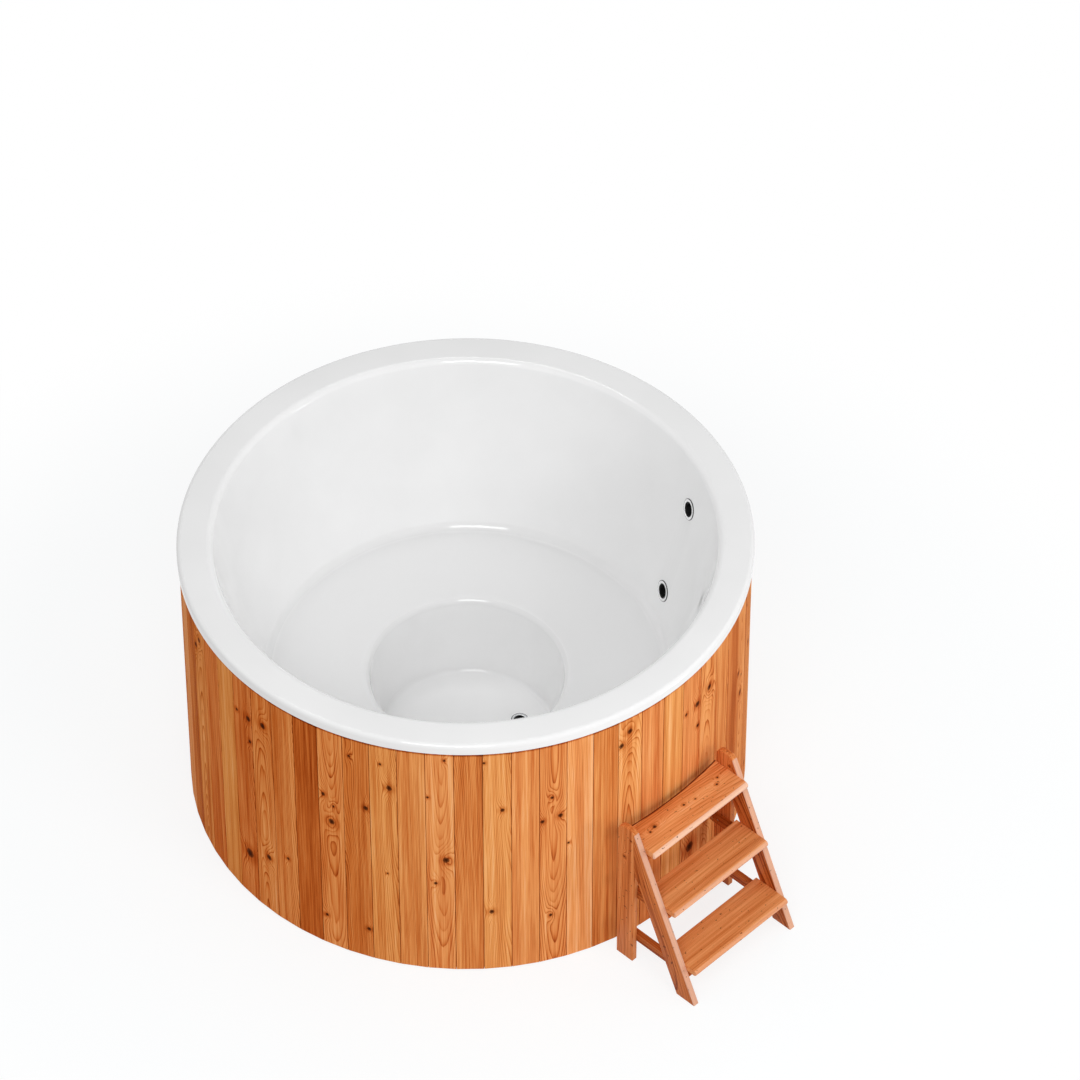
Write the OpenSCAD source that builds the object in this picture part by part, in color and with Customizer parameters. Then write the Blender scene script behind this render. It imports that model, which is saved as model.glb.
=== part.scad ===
// Round wooden hot tub: a one-piece moulded liner with a bench and a foot well, hung and
// seated in a timber frame that is boarded upright all round, with two heater inlets, a
// floor drain with a quarter-turn valve, and free-standing wooden steps.
// Millimetres. +Z is up. The origin is on the ground, on the axis of the tub.
// The steps stand in the -Y, +X quarter. The hose pipes and the valve are at the back.

/* [Liner] */
// Outer radius of the collar
rim_r = 900; // [800:5:1000]
// Width of the flat collar
collar_w = 110; // [104:1:116]
// Height of the collar's turned-down lip
lip_h = 35; // [28:1:45]
// Thickness of the liner
liner_t = 5; // [4:0.5:7]
// Clearance between the lip and the face of the boards
lip_gap = 2.5; // [2:0.5:5]
// Depth of the basin, from the top of the collar to the floor
basin_depth = 907; // [847:5:967]
// Height of the bench above the floor of the foot well
bench_h = 297; // [260:1:330]
// How far the wall leans in between the collar and the bench
wall_run = 150; // [140:1:160]
// Width of the bench
bench_w = 328; // [280:1:350]
// How far the side of the foot well leans in
well_run = 28; // [10:1:45]
// Radius of the rounding along the collar's outer edge
rim_round = 14; // [8:1:20]
// Radius of the rounding where the collar turns down into the wall
collar_round = 24; // [18:1:30]
// Radius of the hollow rounding where the wall meets the bench
bench_round = 36; // [20:1:50]
// Radius of the rounding along the edge of the foot well
well_round = 22; // [10:1:30]
// Radius of the hollow rounding round the floor
floor_round = 18; // [10:1:30]

/* [Side boards] */
// Number of boards round the side
board_n = 64; // [52:4:72]
// Thickness of the boards
board_t = 20; // [18:1:26]
// Open joint between two boards
board_gap = 0.8; // [0.6:0.1:1.5]
// Bevel along the outer edges of a board
board_bevel = 1.2; // [0.8:0.1:2]
// Thickness of the tongue
tongue_t = 5; // [4:0.5:6]
// Length of the tongue
tongue_l = 6; // [4:0.5:8]
// Clearance round the tongue in its groove
tongue_gap = 0.4; // [0.3:0.1:0.6]
// Height of the boards' lower ends above the ground
board_lift = 4; // [2:1:10]
// Angle of the first joint between boards
board_turn = -86.3; // [-90:0.1:-84]

/* [Frame] */
// Number of posts, and of segments in each ring
post_n = 16; // [14:2:20]
// Width of a post along the ring
post_w = 70; // [50:1:80]
// Depth of a post towards the axis
post_t = 28; // [24:1:30]
// Width of the rings towards the axis
ring_w = 40; // [34:1:42]
// Height of the rings
ring_h = 45; // [35:1:60]
// Saw gap between two ring segments
ring_gap = 0.6; // [0.4:0.1:1]
// Thickness of the base deck
deck_t = 20; // [18:1:24]
// Height of the floor beams
beam_h = 98; // [95:1:110]
// Width of the floor beams
beam_w = 45; // [40:1:60]
// How far the deck reaches beyond the ends of the floor beams
deck_over = 4; // [2:1:10]
// Distance between two floor beams
beam_pitch = 250; // [240:1:270]
// Width of the bench joists and legs
joist_w = 45; // [35:1:50]
// Height of the bench joists
joist_h = 60; // [50:1:80]
// Clearance where a piece is seated on the one that carries it
seat_gap = 0.3; // [0.2:0.05:0.4]

/* [Heater inlets] */
// Angle of the inlets and the drain round the axis
inlet_turn = 21; // [20:0.5:22]
// Depth of the upper inlet below the collar
inlet_drop = 156; // [148:1:164]
// Height between the two inlets
inlet_pitch = 338; // [330:1:350]
// Diameter of the inlet's flange
inlet_flange_d = 70; // [67:1:78]
// Thickness of the inlet's flange
inlet_flange_t = 3; // [2:0.5:5]
// Outer diameter of the inlet's sleeve
inlet_sleeve_d = 52; // [50:1:54]
// Wall of the inlet's sleeve
inlet_sleeve_t = 1.7; // [1.5:0.1:2.5]
// Length of the inlet's sleeve behind the liner
inlet_sleeve_l = 36; // [30:1:50]
// Wall of the hose pipe
hose_pipe_t = 3; // [2:0.5:4]
// How far the hose pipe stands out of the boards
hose_pipe_out = 40; // [35:1:46]
// Length of the hose pipe's stepped-down end
hose_end_l = 30; // [24:1:31]
// Depth of the step at the hose pipe's end
hose_end_step = 1; // [0.5:0.5:1.5]
// Thickness of the flat pad moulded into the liner at an inlet
pad_t = 8; // [7.5:0.5:10]

/* [Drain] */
// Distance of the drain from the edge of the floor
drain_edge = 106; // [99:1:119]
// Diameter of the drain's flange
drain_flange_d = 56; // [54:1:62]
// Thickness of the drain's flange
drain_flange_t = 2; // [1.5:0.5:3]
// Outer diameter of the drain's sleeve
drain_sleeve_d = 40; // [39:0.5:42]
// Wall of the drain's sleeve
drain_sleeve_t = 1.7; // [1.5:0.1:2.5]
// Angle from the inlets to the direction of the drain pipe
drain_swing = 45; // [42:1:48]
// Height of the drain pipe's centre line above the ground
drain_pipe_z = 45; // [40:1:48]
// Outer diameter of the drain pipe
drain_pipe_d = 40; // [38:1:41]
// Wall of the drain pipe
drain_pipe_t = 3; // [2:0.5:4]
// Radius of the elbow's centre line
elbow_r = 40; // [36:1:40]
// Thickness of the gaskets
gasket_t = 1.8; // [1:0.1:2]
// Height of the lock nuts
nut_h = 11; // [9:1:12]
// Width of the lock nuts beyond their thread
nut_lip = 11; // [8:1:14]

/* [Drain valve] */
// Diameter of the ball
ball_d = 52; // [50:0.5:54]
// Bore through the ball and the caps
valve_bore = 36; // [30:1:38]
// Running clearance of the ball and the stem
run_gap = 0.05; // [0.03:0.01:0.08]
// Wall of the valve's barrel
barrel_t = 7.5; // [6:0.5:8]
// Length of the valve's barrel
barrel_l = 56; // [54:1:64]
// Length of a cap beyond the barrel
cap_out = 22; // [20:1:28]
// Diameter of the stem
stem_d = 12; // [10:0.5:14]
// Length of the lever from the stem
lever_l = 120; // [90:1:150]
// Width of the lever
lever_w = 18; // [16:1:24]
// Thickness of the lever
lever_t = 4; // [3:0.5:6]
// Length of the grip on the lever
grip_l = 70; // [50:1:80]

/* [Steps] */
// Angle of the steps round the axis
steps_turn = -44.3; // [-60:0.1:-30]
// Sideways place of the middle of the steps
steps_shift = -20; // [-40:1:40]
// Clear width between the two side frames
steps_w = 420; // [380:1:480]
// Distance from the boards to the back of the legs
steps_gap = 10; // [9:1:60]
// Thickness of the side frames' boards
side_t = 20; // [18:1:26]
// Width of the side frames' boards
side_w = 68; // [60:1:80]
// Height of the side frames above the top tread
side_over = 60; // [50:1:80]
// Depth of the side frames at their top
side_top = 64.2; // [60:0.1:67]
// Lean of the stringers from upright
lean = 24.47; // [22.5:0.01:25.5]
// Rounding of the back of a leg's top
leg_round = 28; // [15:1:32]
// Rounding of the front of a leg's top
nose_round = 25; // [15:1:28]
// Height of the bottom tread's top
tread_z = 134; // [125:1:145]
// Height from tread to tread
rise = 200; // [190:1:205]
// Thickness of the treads
tread_t = 24; // [20:1:28]
// Depth of the middle and bottom treads
tread_d = 136; // [120:1:150]
// Depth of the top tread at its ends
top_tread_d = 144; // [135:1:150]
// How far the treads stand out in front of the stringers
tread_out = 48; // [40:1:60]
// Radius of the hollow back edge of the top tread
scoop_r = 1450; // [1300:10:1600]
// Depth of the hollow back edge of the top tread
scoop_d = 13; // [10:1:16]
// Width of the bearers
bearer_w = 21; // [18:1:28]
// Height of the bearers
bearer_h = 30; // [28:1:36]
// How far the bearers stay behind the stringer's front edge
bearer_back = 12; // [8:1:16]
// Distance of the first screw from the back edge
screw_edge = 10; // [9:1:12]
// Distance between two neighbouring screws
screw_pitch = 24; // [22:1:26]
// How far a screw stays above or below the middle of the bearer
screw_stagger = 5; // [4:0.5:6]
// Diameter of the screws
screw_d = 4; // [3.5:0.5:5]
// Length of the screws
screw_l = 35; // [32:1:36]
// Length of the screws that hold the treads
tread_screw_l = 40; // [38:1:44]

/* [Hidden] */

eps = 0.01;
$fn = 96;
liner_fn = 192;

// Heights of the tub
deck_top = beam_h + deck_t;
floor_z = deck_top + seat_gap + liner_t;
rim_z = floor_z + basin_depth;
bench_z = floor_z + bench_h;
under_collar = rim_z - liner_t - seat_gap;

// Radii of the liner, on the side that shows
rim_in_r = rim_r - collar_w;
bench_r = rim_in_r - wall_run;
well_r = bench_r - bench_w;
floor_r = well_r - well_run;
wall_lean = atan2(wall_run, rim_z - bench_z);

// Boards and frame
board_face = rim_r - liner_t - lip_gap;
board_half = 180 / board_n;
board_top = under_collar - (rim_round - liner_t);
ring_r = board_face - board_t - seat_gap;
ring_in = ring_r - ring_w;
post_out = sqrt(pow(ring_in, 2) - pow(post_w / 2, 2)) - seat_gap;
post_in = post_out - post_t;
post_clear = 4;
post_reach = bench_z + (post_in - post_clear - liner_t / cos(wall_lean) - bench_r) / tan(wall_lean);
post_top = min(post_reach, under_collar - ring_h / 2);
joist_n = post_n / 2;
joist_top = bench_z - liner_t - seat_gap;
joist_in = well_r + liner_t / cos(wall_lean) + 12;

// Inlets and drain
function wall_r(z) = bench_r + (z - bench_z) * tan(wall_lean);
upper_inlet_z = rim_z - inlet_drop;
lower_inlet_z = upper_inlet_z - inlet_pitch;
function inlet_out(z, r) = (r - wall_r(z)) / cos(wall_lean);
function inlet_z_at(z, r) = z - (r - wall_r(z)) * tan(wall_lean);
drain_r = floor_r - drain_edge;
ring_mid_r = (ring_r + ring_in) / 2;
middle_ring_z = (inlet_z_at(upper_inlet_z, ring_mid_r) + inlet_z_at(lower_inlet_z, ring_mid_r)) / 2
    - ring_h / 2;
hose_pipe_d = inlet_sleeve_d - 2 * inlet_sleeve_t - 2 * seat_gap;
hose_start = 1;
cut_gap = 1.5;
pipe_turn = inlet_turn + drain_swing;
drain_along = drain_r * cos(drain_swing);
drain_side = -drain_r * sin(drain_swing);
drain_nut_top = floor_z - liner_t - seat_gap - gasket_t - seat_gap;
elbow_top = drain_nut_top - nut_h - 1;
elbow_leg_z = drain_pipe_z + elbow_r;
elbow_wall = 5;
elbow_bore = drain_pipe_d - 2 * drain_pipe_t;
elbow_socket_l = 30;
elbow_seat = 3;
drain_sleeve_end = elbow_leg_z + elbow_seat + seat_gap;

// Valve, along the drain pipe from the drain
boards_along = sqrt(pow(board_face, 2) - pow(drain_side, 2));
valve_gap = 20;
valve_x = boards_along + valve_gap + cap_out + barrel_l / 2 - drain_along;
seat_t = 6;
cap_inner = sqrt(pow(ball_d / 2, 2) - pow(valve_bore / 2, 2)) + 1;
cavity_d = ball_d + 5;
barrel_d = cavity_d + 2 * barrel_t;
cap_d = drain_pipe_d + 24;
cap_socket = 16;
stem_boss_d = stem_d + 14;
boss_top = barrel_d / 2 + 8;
tang_w = stem_d / 2;
tang_h = 4;
stem_foot = sqrt(pow(ball_d / 2, 2) - pow(stem_d / 2, 2)) - tang_h;
stem_top = boss_top + lever_t + 8;
grip_t = 2.5;
lever_nut_h = 5;

// Steps: x runs out from the axis of the tub, y to the right as seen from the tub's front
top_z = tread_z + 2 * rise;
middle_z = tread_z + rise;
side_h = top_z + side_over;
side_d = side_top + side_h * tan(lean);
leg_back = board_face + steps_gap;
leg_front = leg_back + side_w;
string_front = leg_back + side_d;
string_foot = side_w / cos(lean);
function front_x(z) = string_front - z * tan(lean);
function back_x(z) = front_x(z) - string_foot;
frame_y = steps_w / 2;
top_front = front_x(top_z) + tread_out;
bearer_leg_x = [screw_edge, screw_edge + screw_pitch];
tread_screw_x = [2 * screw_edge, 2 * screw_edge + screw_pitch];
tread_ease = 0.3;
head_d = 2 * screw_d;
head_h = screw_d / 2;
screw_gap = 0.1;

// ---- shared shapes ----

// Point at distance d along the way from a to b
function toward(a, b, d) = a + (b - a) * d / norm(b - a);

// Turn from the direction of a to the direction of b, anticlockwise
function turn(a, b) = atan2(a[0] * b[1] - a[1] * b[0], a * b);

// Points that round the corner q between p and s with radius r
function corner(p, q, s, r, n = 8) =
    let (u = (q - p) / norm(q - p), w = turn(q - p, s - q), g = w < 0 ? -1 : 1,
        c = toward(q, p, r * tan(abs(w) / 2)) + g * r * [-u[1], u[0]],
        a = atan2(u[1], u[0]) - g * 90)
    [for (i = [0:n]) c + r * [cos(a + w * i / n), sin(a + w * i / n)]];

// Path moved to its left by t, its ends moved straight across
function left_of(p, t) = [for (i = [0:len(p) - 1])
    let (a = i == 0 ? p[1] - p[0] : p[i] - p[i - 1],
        b = i == len(p) - 1 ? a : p[i + 1] - p[i],
        u = a / norm(a), h = turn(a, b) / 2)
    p[i] + t * ([-u[1], u[0]] - u * tan(h))];

// Path p with each inner corner rounded by its radius in r
function rounded(p, r) = concat([p[0]],
    [for (i = [1:len(p) - 2]) each corner(p[i - 1], p[i], p[i + 1], r[i - 1])],
    [p[len(p) - 1]]);

function backwards(p) = [for (i = [len(p) - 1:-1:0]) p[i]];

// Puts a piece at angle a round the axis
module round_axis(a) rotate([0, 0, a]) children();

// Flat ring, as used for gaskets
module washer(d, bore, h) {
    difference() {
        cylinder(d = d, h = h);
        translate([0, 0, -1]) cylinder(d = bore, h = h + 2);
    }
}

// Round lock nut with notches for a hook spanner
module lock_nut(d, bore, h) {
    notch_n = 8;
    notch = 7;
    difference() {
        cylinder(d = d, h = h);
        translate([0, 0, -1]) cylinder(d = bore, h = h + 2);
        for (i = [0:notch_n - 1]) rotate([0, 0, i * 360 / notch_n])
            translate([d / 2 - 3, -notch / 2, -1]) cube([notch, notch, h + 2]);
    }
}

// Sleeve with a domed flange. The flange lies in front of z = 0, the sleeve runs to z = l
module flanged_sleeve(flange_d, flange_t, d, t, l) {
    dome_n = 8;
    in = d / 2 - t;
    rise_r = (flange_d / 2 - in) / 2;
    mid = in + rise_r;
    rotate_extrude() polygon(concat(
        [[in, l], [in, -flange_t / 2]],
        [for (i = [1:dome_n - 1]) let (a = 180 - i * 180 / dome_n)
            [mid + rise_r * cos(a), -flange_t / 2 - flange_t / 2 * sin(a)]],
        [[flange_d / 2, -flange_t / 2], [flange_d / 2, 0], [d / 2, 0], [d / 2, l]]));
}

// ---- tub ----

liner_path = [[rim_r, rim_z - lip_h], [rim_r, rim_z], [rim_in_r, rim_z], [bench_r, bench_z],
    [well_r, bench_z], [floor_r, floor_z], [0, floor_z]];
liner_rounds = [rim_round, collar_round, bench_round, well_round, floor_round];
// On the hidden side the outward corners are tighter and the hollow ones wider
liner_back_rounds = [rim_round - liner_t, collar_round - liner_t, bench_round + liner_t,
    well_round - liner_t, floor_round + liner_t];

// Takes its children to the middle of an inlet on the wall, z pointing out through the wall
module at_inlet(z) {
    round_axis(inlet_turn) translate([wall_r(z), 0, z]) rotate([0, 90 + wall_lean, 0]) children();
}

// Takes its children to the drain, x along the drain pipe
module at_drain() {
    round_axis(pipe_turn) translate([drain_along, drain_side, 0]) children();
}

module liner() color("white") {
    spot_d = inlet_flange_d + 4;
    cut_h = 8 * liner_t;
    difference() {
        union() {
            rotate_extrude($fn = liner_fn) polygon(concat(rounded(liner_path, liner_rounds),
                backwards(rounded(left_of(liner_path, liner_t), liner_back_rounds))));
            for (z = [upper_inlet_z, lower_inlet_z]) at_inlet(z)
                translate([0, 0, 1]) cylinder(d = spot_d, h = pad_t - 1);
        }
        for (z = [upper_inlet_z, lower_inlet_z]) at_inlet(z) {
            cylinder(d = inlet_sleeve_d + 2 * seat_gap, h = cut_h, center = true);
            translate([0, 0, -cut_h]) cylinder(d = spot_d, h = cut_h);
        }
        at_drain() translate([0, 0, floor_z])
            cylinder(d = drain_sleeve_d + 2 * seat_gap, h = cut_h, center = true);
    }
}

// One upright board: tongue on one edge, groove on the other, both square to the joint
module side_board() {
    h = board_half;
    face = board_face;
    back = board_face - board_t;
    mid = (face + back) / 2;
    function edge_y(x) = x * tan(h) - board_gap / 2 / cos(h);
    function on_joint(r, d, s) = [r * cos(h) - s * d * sin(h), s * r * sin(h) + d * cos(h)];
    t0 = mid - tongue_t / 2;
    t1 = mid + tongue_t / 2;
    g0 = t0 - tongue_gap;
    g1 = t1 + tongue_gap;
    g_deep = tongue_l + tongue_gap;
    translate([0, 0, board_lift]) linear_extrude(board_top - board_lift) polygon([
        [face, -edge_y(face) + board_bevel], [face, edge_y(face) - board_bevel],
        [face - board_bevel, edge_y(face - board_bevel)],
        on_joint(t1, -board_gap / 2, 1), on_joint(t1, tongue_l, 1),
        on_joint(t0, tongue_l, 1), on_joint(t0, -board_gap / 2, 1),
        [back, edge_y(back)], [back, -edge_y(back)],
        on_joint(g0, board_gap / 2, -1), on_joint(g0, g_deep, -1),
        on_joint(g1, g_deep, -1), on_joint(g1, board_gap / 2, -1),
        [face - board_bevel, -edge_y(face - board_bevel)]]);
}

module side_boards() color("peru") {
    difference() {
        for (i = [0:board_n - 1]) round_axis(board_turn + (2 * i + 1) * board_half) side_board();
        for (z = [upper_inlet_z, lower_inlet_z]) at_inlet(z)
            translate([0, 0, inlet_out(z, ring_r)])
                cylinder(d = hose_pipe_d + 2 * cut_gap, h = board_t * 5, center = true);
        at_drain() translate([boards_along - drain_along, 0, drain_pipe_z]) rotate([0, 90, 0])
            cylinder(d = drain_pipe_d + 2 * cut_gap, h = board_t * 4, center = true);
    }
}

// Ring of sawn segments with its lower face at height z
module ring_of_segments(z) {
    step = 360 / post_n;
    saw = ring_gap / ring_in * 180 / PI;
    for (i = [0:post_n - 1]) round_axis(inlet_turn + (i - 0.5) * step + saw / 2)
        rotate_extrude(angle = step - saw, $fn = liner_fn)
            translate([ring_in, z]) square([ring_w, ring_h]);
}

module upper_ring() color("burlywood") ring_of_segments(under_collar - ring_h);
module middle_ring() color("burlywood") ring_of_segments(middle_ring_z);
module lower_ring() color("burlywood") ring_of_segments(deck_top);

module posts() color("burlywood") {
    for (i = [0:post_n - 1]) round_axis(inlet_turn + (i + 0.5) * 360 / post_n)
        translate([post_in, -post_w / 2, deck_top]) cube([post_t, post_w, post_top - deck_top]);
}

// Takes its children to each bench joist, x pointing out
module at_joists() {
    for (i = [0:joist_n - 1]) round_axis(inlet_turn + 180 / post_n + i * 360 / joist_n) children();
}

module bench_joists() color("burlywood") {
    at_joists() translate([joist_in, -joist_w / 2, joist_top - joist_h])
        cube([post_in - seat_gap - joist_in, joist_w, joist_h]);
}

module bench_legs() color("burlywood") {
    inset = 10;
    at_joists() translate([joist_in + inset, -joist_w / 2, deck_top])
        cube([joist_w, joist_w, joist_top - joist_h - deck_top]);
}

module base_deck() color("burlywood") {
    seam = 1;
    difference() {
        translate([0, 0, beam_h]) cylinder(r = ring_r, h = deck_t, $fn = liner_fn);
        round_axis(pipe_turn) translate([-rim_r, -seam / 2, 0]) cube([2 * rim_r, seam, rim_z]);
        at_drain() cylinder(d = drain_sleeve_d + 2 * nut_lip + 14, h = rim_z);
    }
}

module floor_beams() color("burlywood") {
    side_n = floor((ring_r - beam_w) / beam_pitch);
    round_axis(pipe_turn) for (i = [-side_n:side_n]) {
        half = sqrt(pow(ring_r - deck_over, 2) - pow(abs(i) * beam_pitch + beam_w / 2, 2));
        translate([-half, i * beam_pitch - beam_w / 2, 0]) cube([2 * half, beam_w, beam_h]);
    }
}

// ---- heater inlets ----

module inlet_sleeve(z) color("silver") {
    at_inlet(z) flanged_sleeve(inlet_flange_d, inlet_flange_t, inlet_sleeve_d, inlet_sleeve_t,
        inlet_sleeve_l);
}

module inlet_gasket(z) color("black") {
    at_inlet(z) translate([0, 0, pad_t])
        washer(inlet_sleeve_d + 2 * nut_lip - 2, inlet_sleeve_d + 2 * seat_gap, gasket_t);
}

module inlet_nut(z) color("dimgray") {
    at_inlet(z) translate([0, 0, pad_t + gasket_t + seat_gap])
        lock_nut(inlet_sleeve_d + 2 * nut_lip, inlet_sleeve_d + 2 * seat_gap, nut_h);
}

// Pipe that lines the sleeve and carries the heater's hose outside the boards
module hose_pipe(z) color("black") {
    out = inlet_out(z, board_face + hose_pipe_out);
    at_inlet(z) difference() {
        union() {
            translate([0, 0, hose_start])
                cylinder(d = hose_pipe_d, h = out - hose_end_l - hose_start);
            translate([0, 0, out - hose_end_l - 1])
                cylinder(d = hose_pipe_d - 2 * hose_end_step, h = hose_end_l + 1);
        }
        cylinder(d = hose_pipe_d - 2 * hose_pipe_t, h = 2 * out, center = true);
    }
}

module upper_inlet_sleeve() inlet_sleeve(upper_inlet_z);
module upper_inlet_gasket() inlet_gasket(upper_inlet_z);
module upper_inlet_nut() inlet_nut(upper_inlet_z);
module upper_hose_pipe() hose_pipe(upper_inlet_z);
module lower_inlet_sleeve() inlet_sleeve(lower_inlet_z);
module lower_inlet_gasket() inlet_gasket(lower_inlet_z);
module lower_inlet_nut() inlet_nut(lower_inlet_z);
module lower_hose_pipe() hose_pipe(lower_inlet_z);

// ---- drain ----

module drain_sleeve() color("silver") {
    at_drain() translate([0, 0, floor_z]) mirror([0, 0, 1])
        flanged_sleeve(drain_flange_d, drain_flange_t, drain_sleeve_d, drain_sleeve_t,
            floor_z - drain_sleeve_end);
}

module drain_gasket() color("black") {
    at_drain() translate([0, 0, drain_nut_top + seat_gap])
        washer(drain_sleeve_d + 2 * nut_lip - 2, drain_sleeve_d + 2 * seat_gap, gasket_t);
}

module drain_nut() color("dimgray") {
    at_drain() translate([0, 0, drain_nut_top - nut_h])
        lock_nut(drain_sleeve_d + 2 * nut_lip, drain_sleeve_d + 2 * seat_gap, nut_h);
}

// Elbow from the drain down and round to the pipe, with a socket at each end
module drain_elbow() color("gray") {
    at_drain() difference() {
        union() {
            translate([0, 0, elbow_leg_z])
                cylinder(d = drain_sleeve_d + 2 * elbow_wall, h = elbow_top - elbow_leg_z);
            elbow_bend(elbow_bore + 2 * elbow_wall);
            translate([elbow_r, 0, drain_pipe_z]) rotate([0, 90, 0])
                cylinder(d = drain_pipe_d + 2 * elbow_wall, h = elbow_socket_l);
        }
        translate([0, 0, elbow_leg_z + elbow_seat])
            cylinder(d = drain_sleeve_d + 2 * seat_gap, h = elbow_top);
        translate([0, 0, elbow_leg_z - eps]) cylinder(d = elbow_bore + 2, h = elbow_top);
        elbow_bend(elbow_bore);
        translate([elbow_r - eps, 0, drain_pipe_z]) rotate([0, 90, 0])
            cylinder(d = elbow_bore + 2, h = elbow_socket_l);
        translate([elbow_r + elbow_seat, 0, drain_pipe_z]) rotate([0, 90, 0])
            cylinder(d = drain_pipe_d + 2 * seat_gap, h = elbow_socket_l);
    }
}

// Quarter bend of a round bar of diameter d, from upright to level
module elbow_bend(d) {
    translate([elbow_r, 0, elbow_leg_z]) rotate([90, 0, 0]) rotate([0, 0, 180])
        rotate_extrude(angle = 90) translate([elbow_r, 0]) circle(d = d);
}

module drain_pipe() color("gray") {
    start = elbow_r + elbow_seat + seat_gap;
    end = valve_x - barrel_l / 2 - cap_out + cap_socket;
    at_drain() translate([start, 0, drain_pipe_z]) rotate([0, 90, 0])
        washer(drain_pipe_d, elbow_bore, end - start);
}

// ---- drain valve ----

// Takes its children to the middle of the valve, x along the pipe, z up the stem
module at_valve() {
    at_drain() translate([valve_x, 0, drain_pipe_z]) children();
}

module valve_barrel() color("dimgray") {
    at_valve() difference() {
        union() {
            rotate([0, 90, 0]) cylinder(d = barrel_d, h = barrel_l, center = true);
            cylinder(d = stem_boss_d, h = boss_top);
        }
        rotate([0, 90, 0]) cylinder(d = cavity_d, h = barrel_l + 2, center = true);
        cylinder(d = stem_d + 2 * run_gap, h = boss_top + 1);
    }
}

// Cap that screws into the barrel, with ribs for the hand and a socket for the pipe
module valve_cap() {
    rib_n = 12;
    outer = barrel_l / 2 + cap_out;
    rotate([0, 90, 0]) difference() {
        union() {
            translate([0, 0, cap_inner])
                cylinder(d = cavity_d - 2 * seat_gap, h = outer - cap_inner);
            translate([0, 0, barrel_l / 2 + seat_gap]) cylinder(d = cap_d, h = cap_out - seat_gap);
            for (i = [0:rib_n - 1]) rotate([0, 0, i * 360 / rib_n])
                translate([cap_d / 2 - 2, -2, barrel_l / 2 + 3]) cube([4, 4, cap_out - 6]);
        }
        cylinder(d = valve_bore, h = 2 * outer);
        translate([0, 0, outer - cap_socket])
            cylinder(d = drain_pipe_d + 2 * seat_gap, h = cap_socket + 1);
    }
}

module valve_inner_cap() color("dimgray") { at_valve() rotate([0, 0, 180]) valve_cap(); }
module valve_outer_cap() color("dimgray") { at_valve() valve_cap(); }

module valve_seats() color("white") {
    end = cap_inner - seat_gap;
    at_valve() for (s = [90, -90]) rotate([0, s, 0]) rotate_extrude() difference() {
        translate([valve_bore / 2, end - seat_t])
            square([cavity_d / 2 - seat_gap - valve_bore / 2, seat_t]);
        circle(d = ball_d + 2 * run_gap);
    }
}

// The ball at rest is shut: its bore lies across the pipe
module valve_ball() color("silver") {
    at_valve() difference() {
        sphere(d = ball_d);
        rotate([90, 0, 0]) cylinder(d = valve_bore, h = ball_d + 2, center = true);
        translate([-stem_d / 2 - 1, -tang_w / 2 - screw_gap, stem_foot - screw_gap])
            cube([stem_d + 2, tang_w + 2 * screw_gap, ball_d]);
    }
}

module valve_stem() color("silver") {
    flat = stem_d / 2 - 3;
    at_valve() difference() {
        translate([0, 0, stem_foot]) cylinder(d = stem_d, h = stem_top - stem_foot);
        for (s = [-1, 1]) {
            translate([-stem_d, s * (tang_w / 2 + stem_d) - stem_d, stem_foot - 1])
                cube([2 * stem_d, 2 * stem_d, tang_h + 2.5]);
            translate([-stem_d, s * (flat + stem_d) - stem_d, boss_top + seat_gap])
                cube([2 * stem_d, 2 * stem_d, stem_d * 2]);
        }
    }
}

// The lever lies across the pipe while the valve is shut
module valve_lever() color("silver") {
    flat = stem_d / 2 - 3 + screw_gap;
    at_valve() translate([0, 0, boss_top + seat_gap]) difference() {
        union() {
            cylinder(d = stem_boss_d, h = lever_t);
            translate([-lever_w / 2, 0, 0]) cube([lever_w, lever_l - lever_w / 2, lever_t]);
            translate([0, lever_l - lever_w / 2, 0]) cylinder(d = lever_w, h = lever_t);
        }
        intersection() {
            cylinder(d = stem_d + 2 * screw_gap, h = 3 * lever_t, center = true);
            cube([2 * stem_d, 2 * flat, 4 * lever_t], center = true);
        }
    }
}

module lever_grip() color("red") {
    w = lever_w + 2 * grip_t;
    h = lever_t + 2 * grip_t;
    at_valve() translate([0, 0, boss_top + seat_gap - grip_t]) difference() {
        union() {
            translate([-w / 2, lever_l - grip_l, 0]) cube([w, grip_l - lever_w / 2, h]);
            translate([0, lever_l - lever_w / 2, 0]) cylinder(d = w, h = h);
        }
        translate([-lever_w / 2 - screw_gap, 0, grip_t - screw_gap])
            cube([lever_w + 2 * screw_gap, lever_l - lever_w / 2, lever_t + 2 * screw_gap]);
        translate([0, lever_l - lever_w / 2, grip_t - screw_gap])
            cylinder(d = lever_w + 2 * screw_gap, h = lever_t + 2 * screw_gap);
    }
}

module lever_nut() color("silver") {
    flat = stem_d / 2 - 3 + screw_gap;
    at_valve() translate([0, 0, boss_top + lever_t + 2 * seat_gap]) difference() {
        cylinder(d = stem_d + 8, h = lever_nut_h, $fn = 6);
        intersection() {
            cylinder(d = stem_d + 2 * screw_gap, h = 4 * lever_nut_h, center = true);
            cube([2 * stem_d, 2 * flat, 5 * lever_nut_h], center = true);
        }
    }
}

// ---- steps ----

// Takes its children to the steps: x out from the tub, y = 0 midway between the side frames
module at_steps() {
    round_axis(steps_turn) translate([0, steps_shift, 0]) children();
}

// Flat board cut to a side outline [x, z], s = -1 for the left frame and 1 for the right
module side_cut(s, points) {
    y = s < 0 ? -frame_y - side_t : frame_y;
    translate([0, y + side_t, 0]) rotate([90, 0, 0]) linear_extrude(side_t) polygon(points);
}

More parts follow.
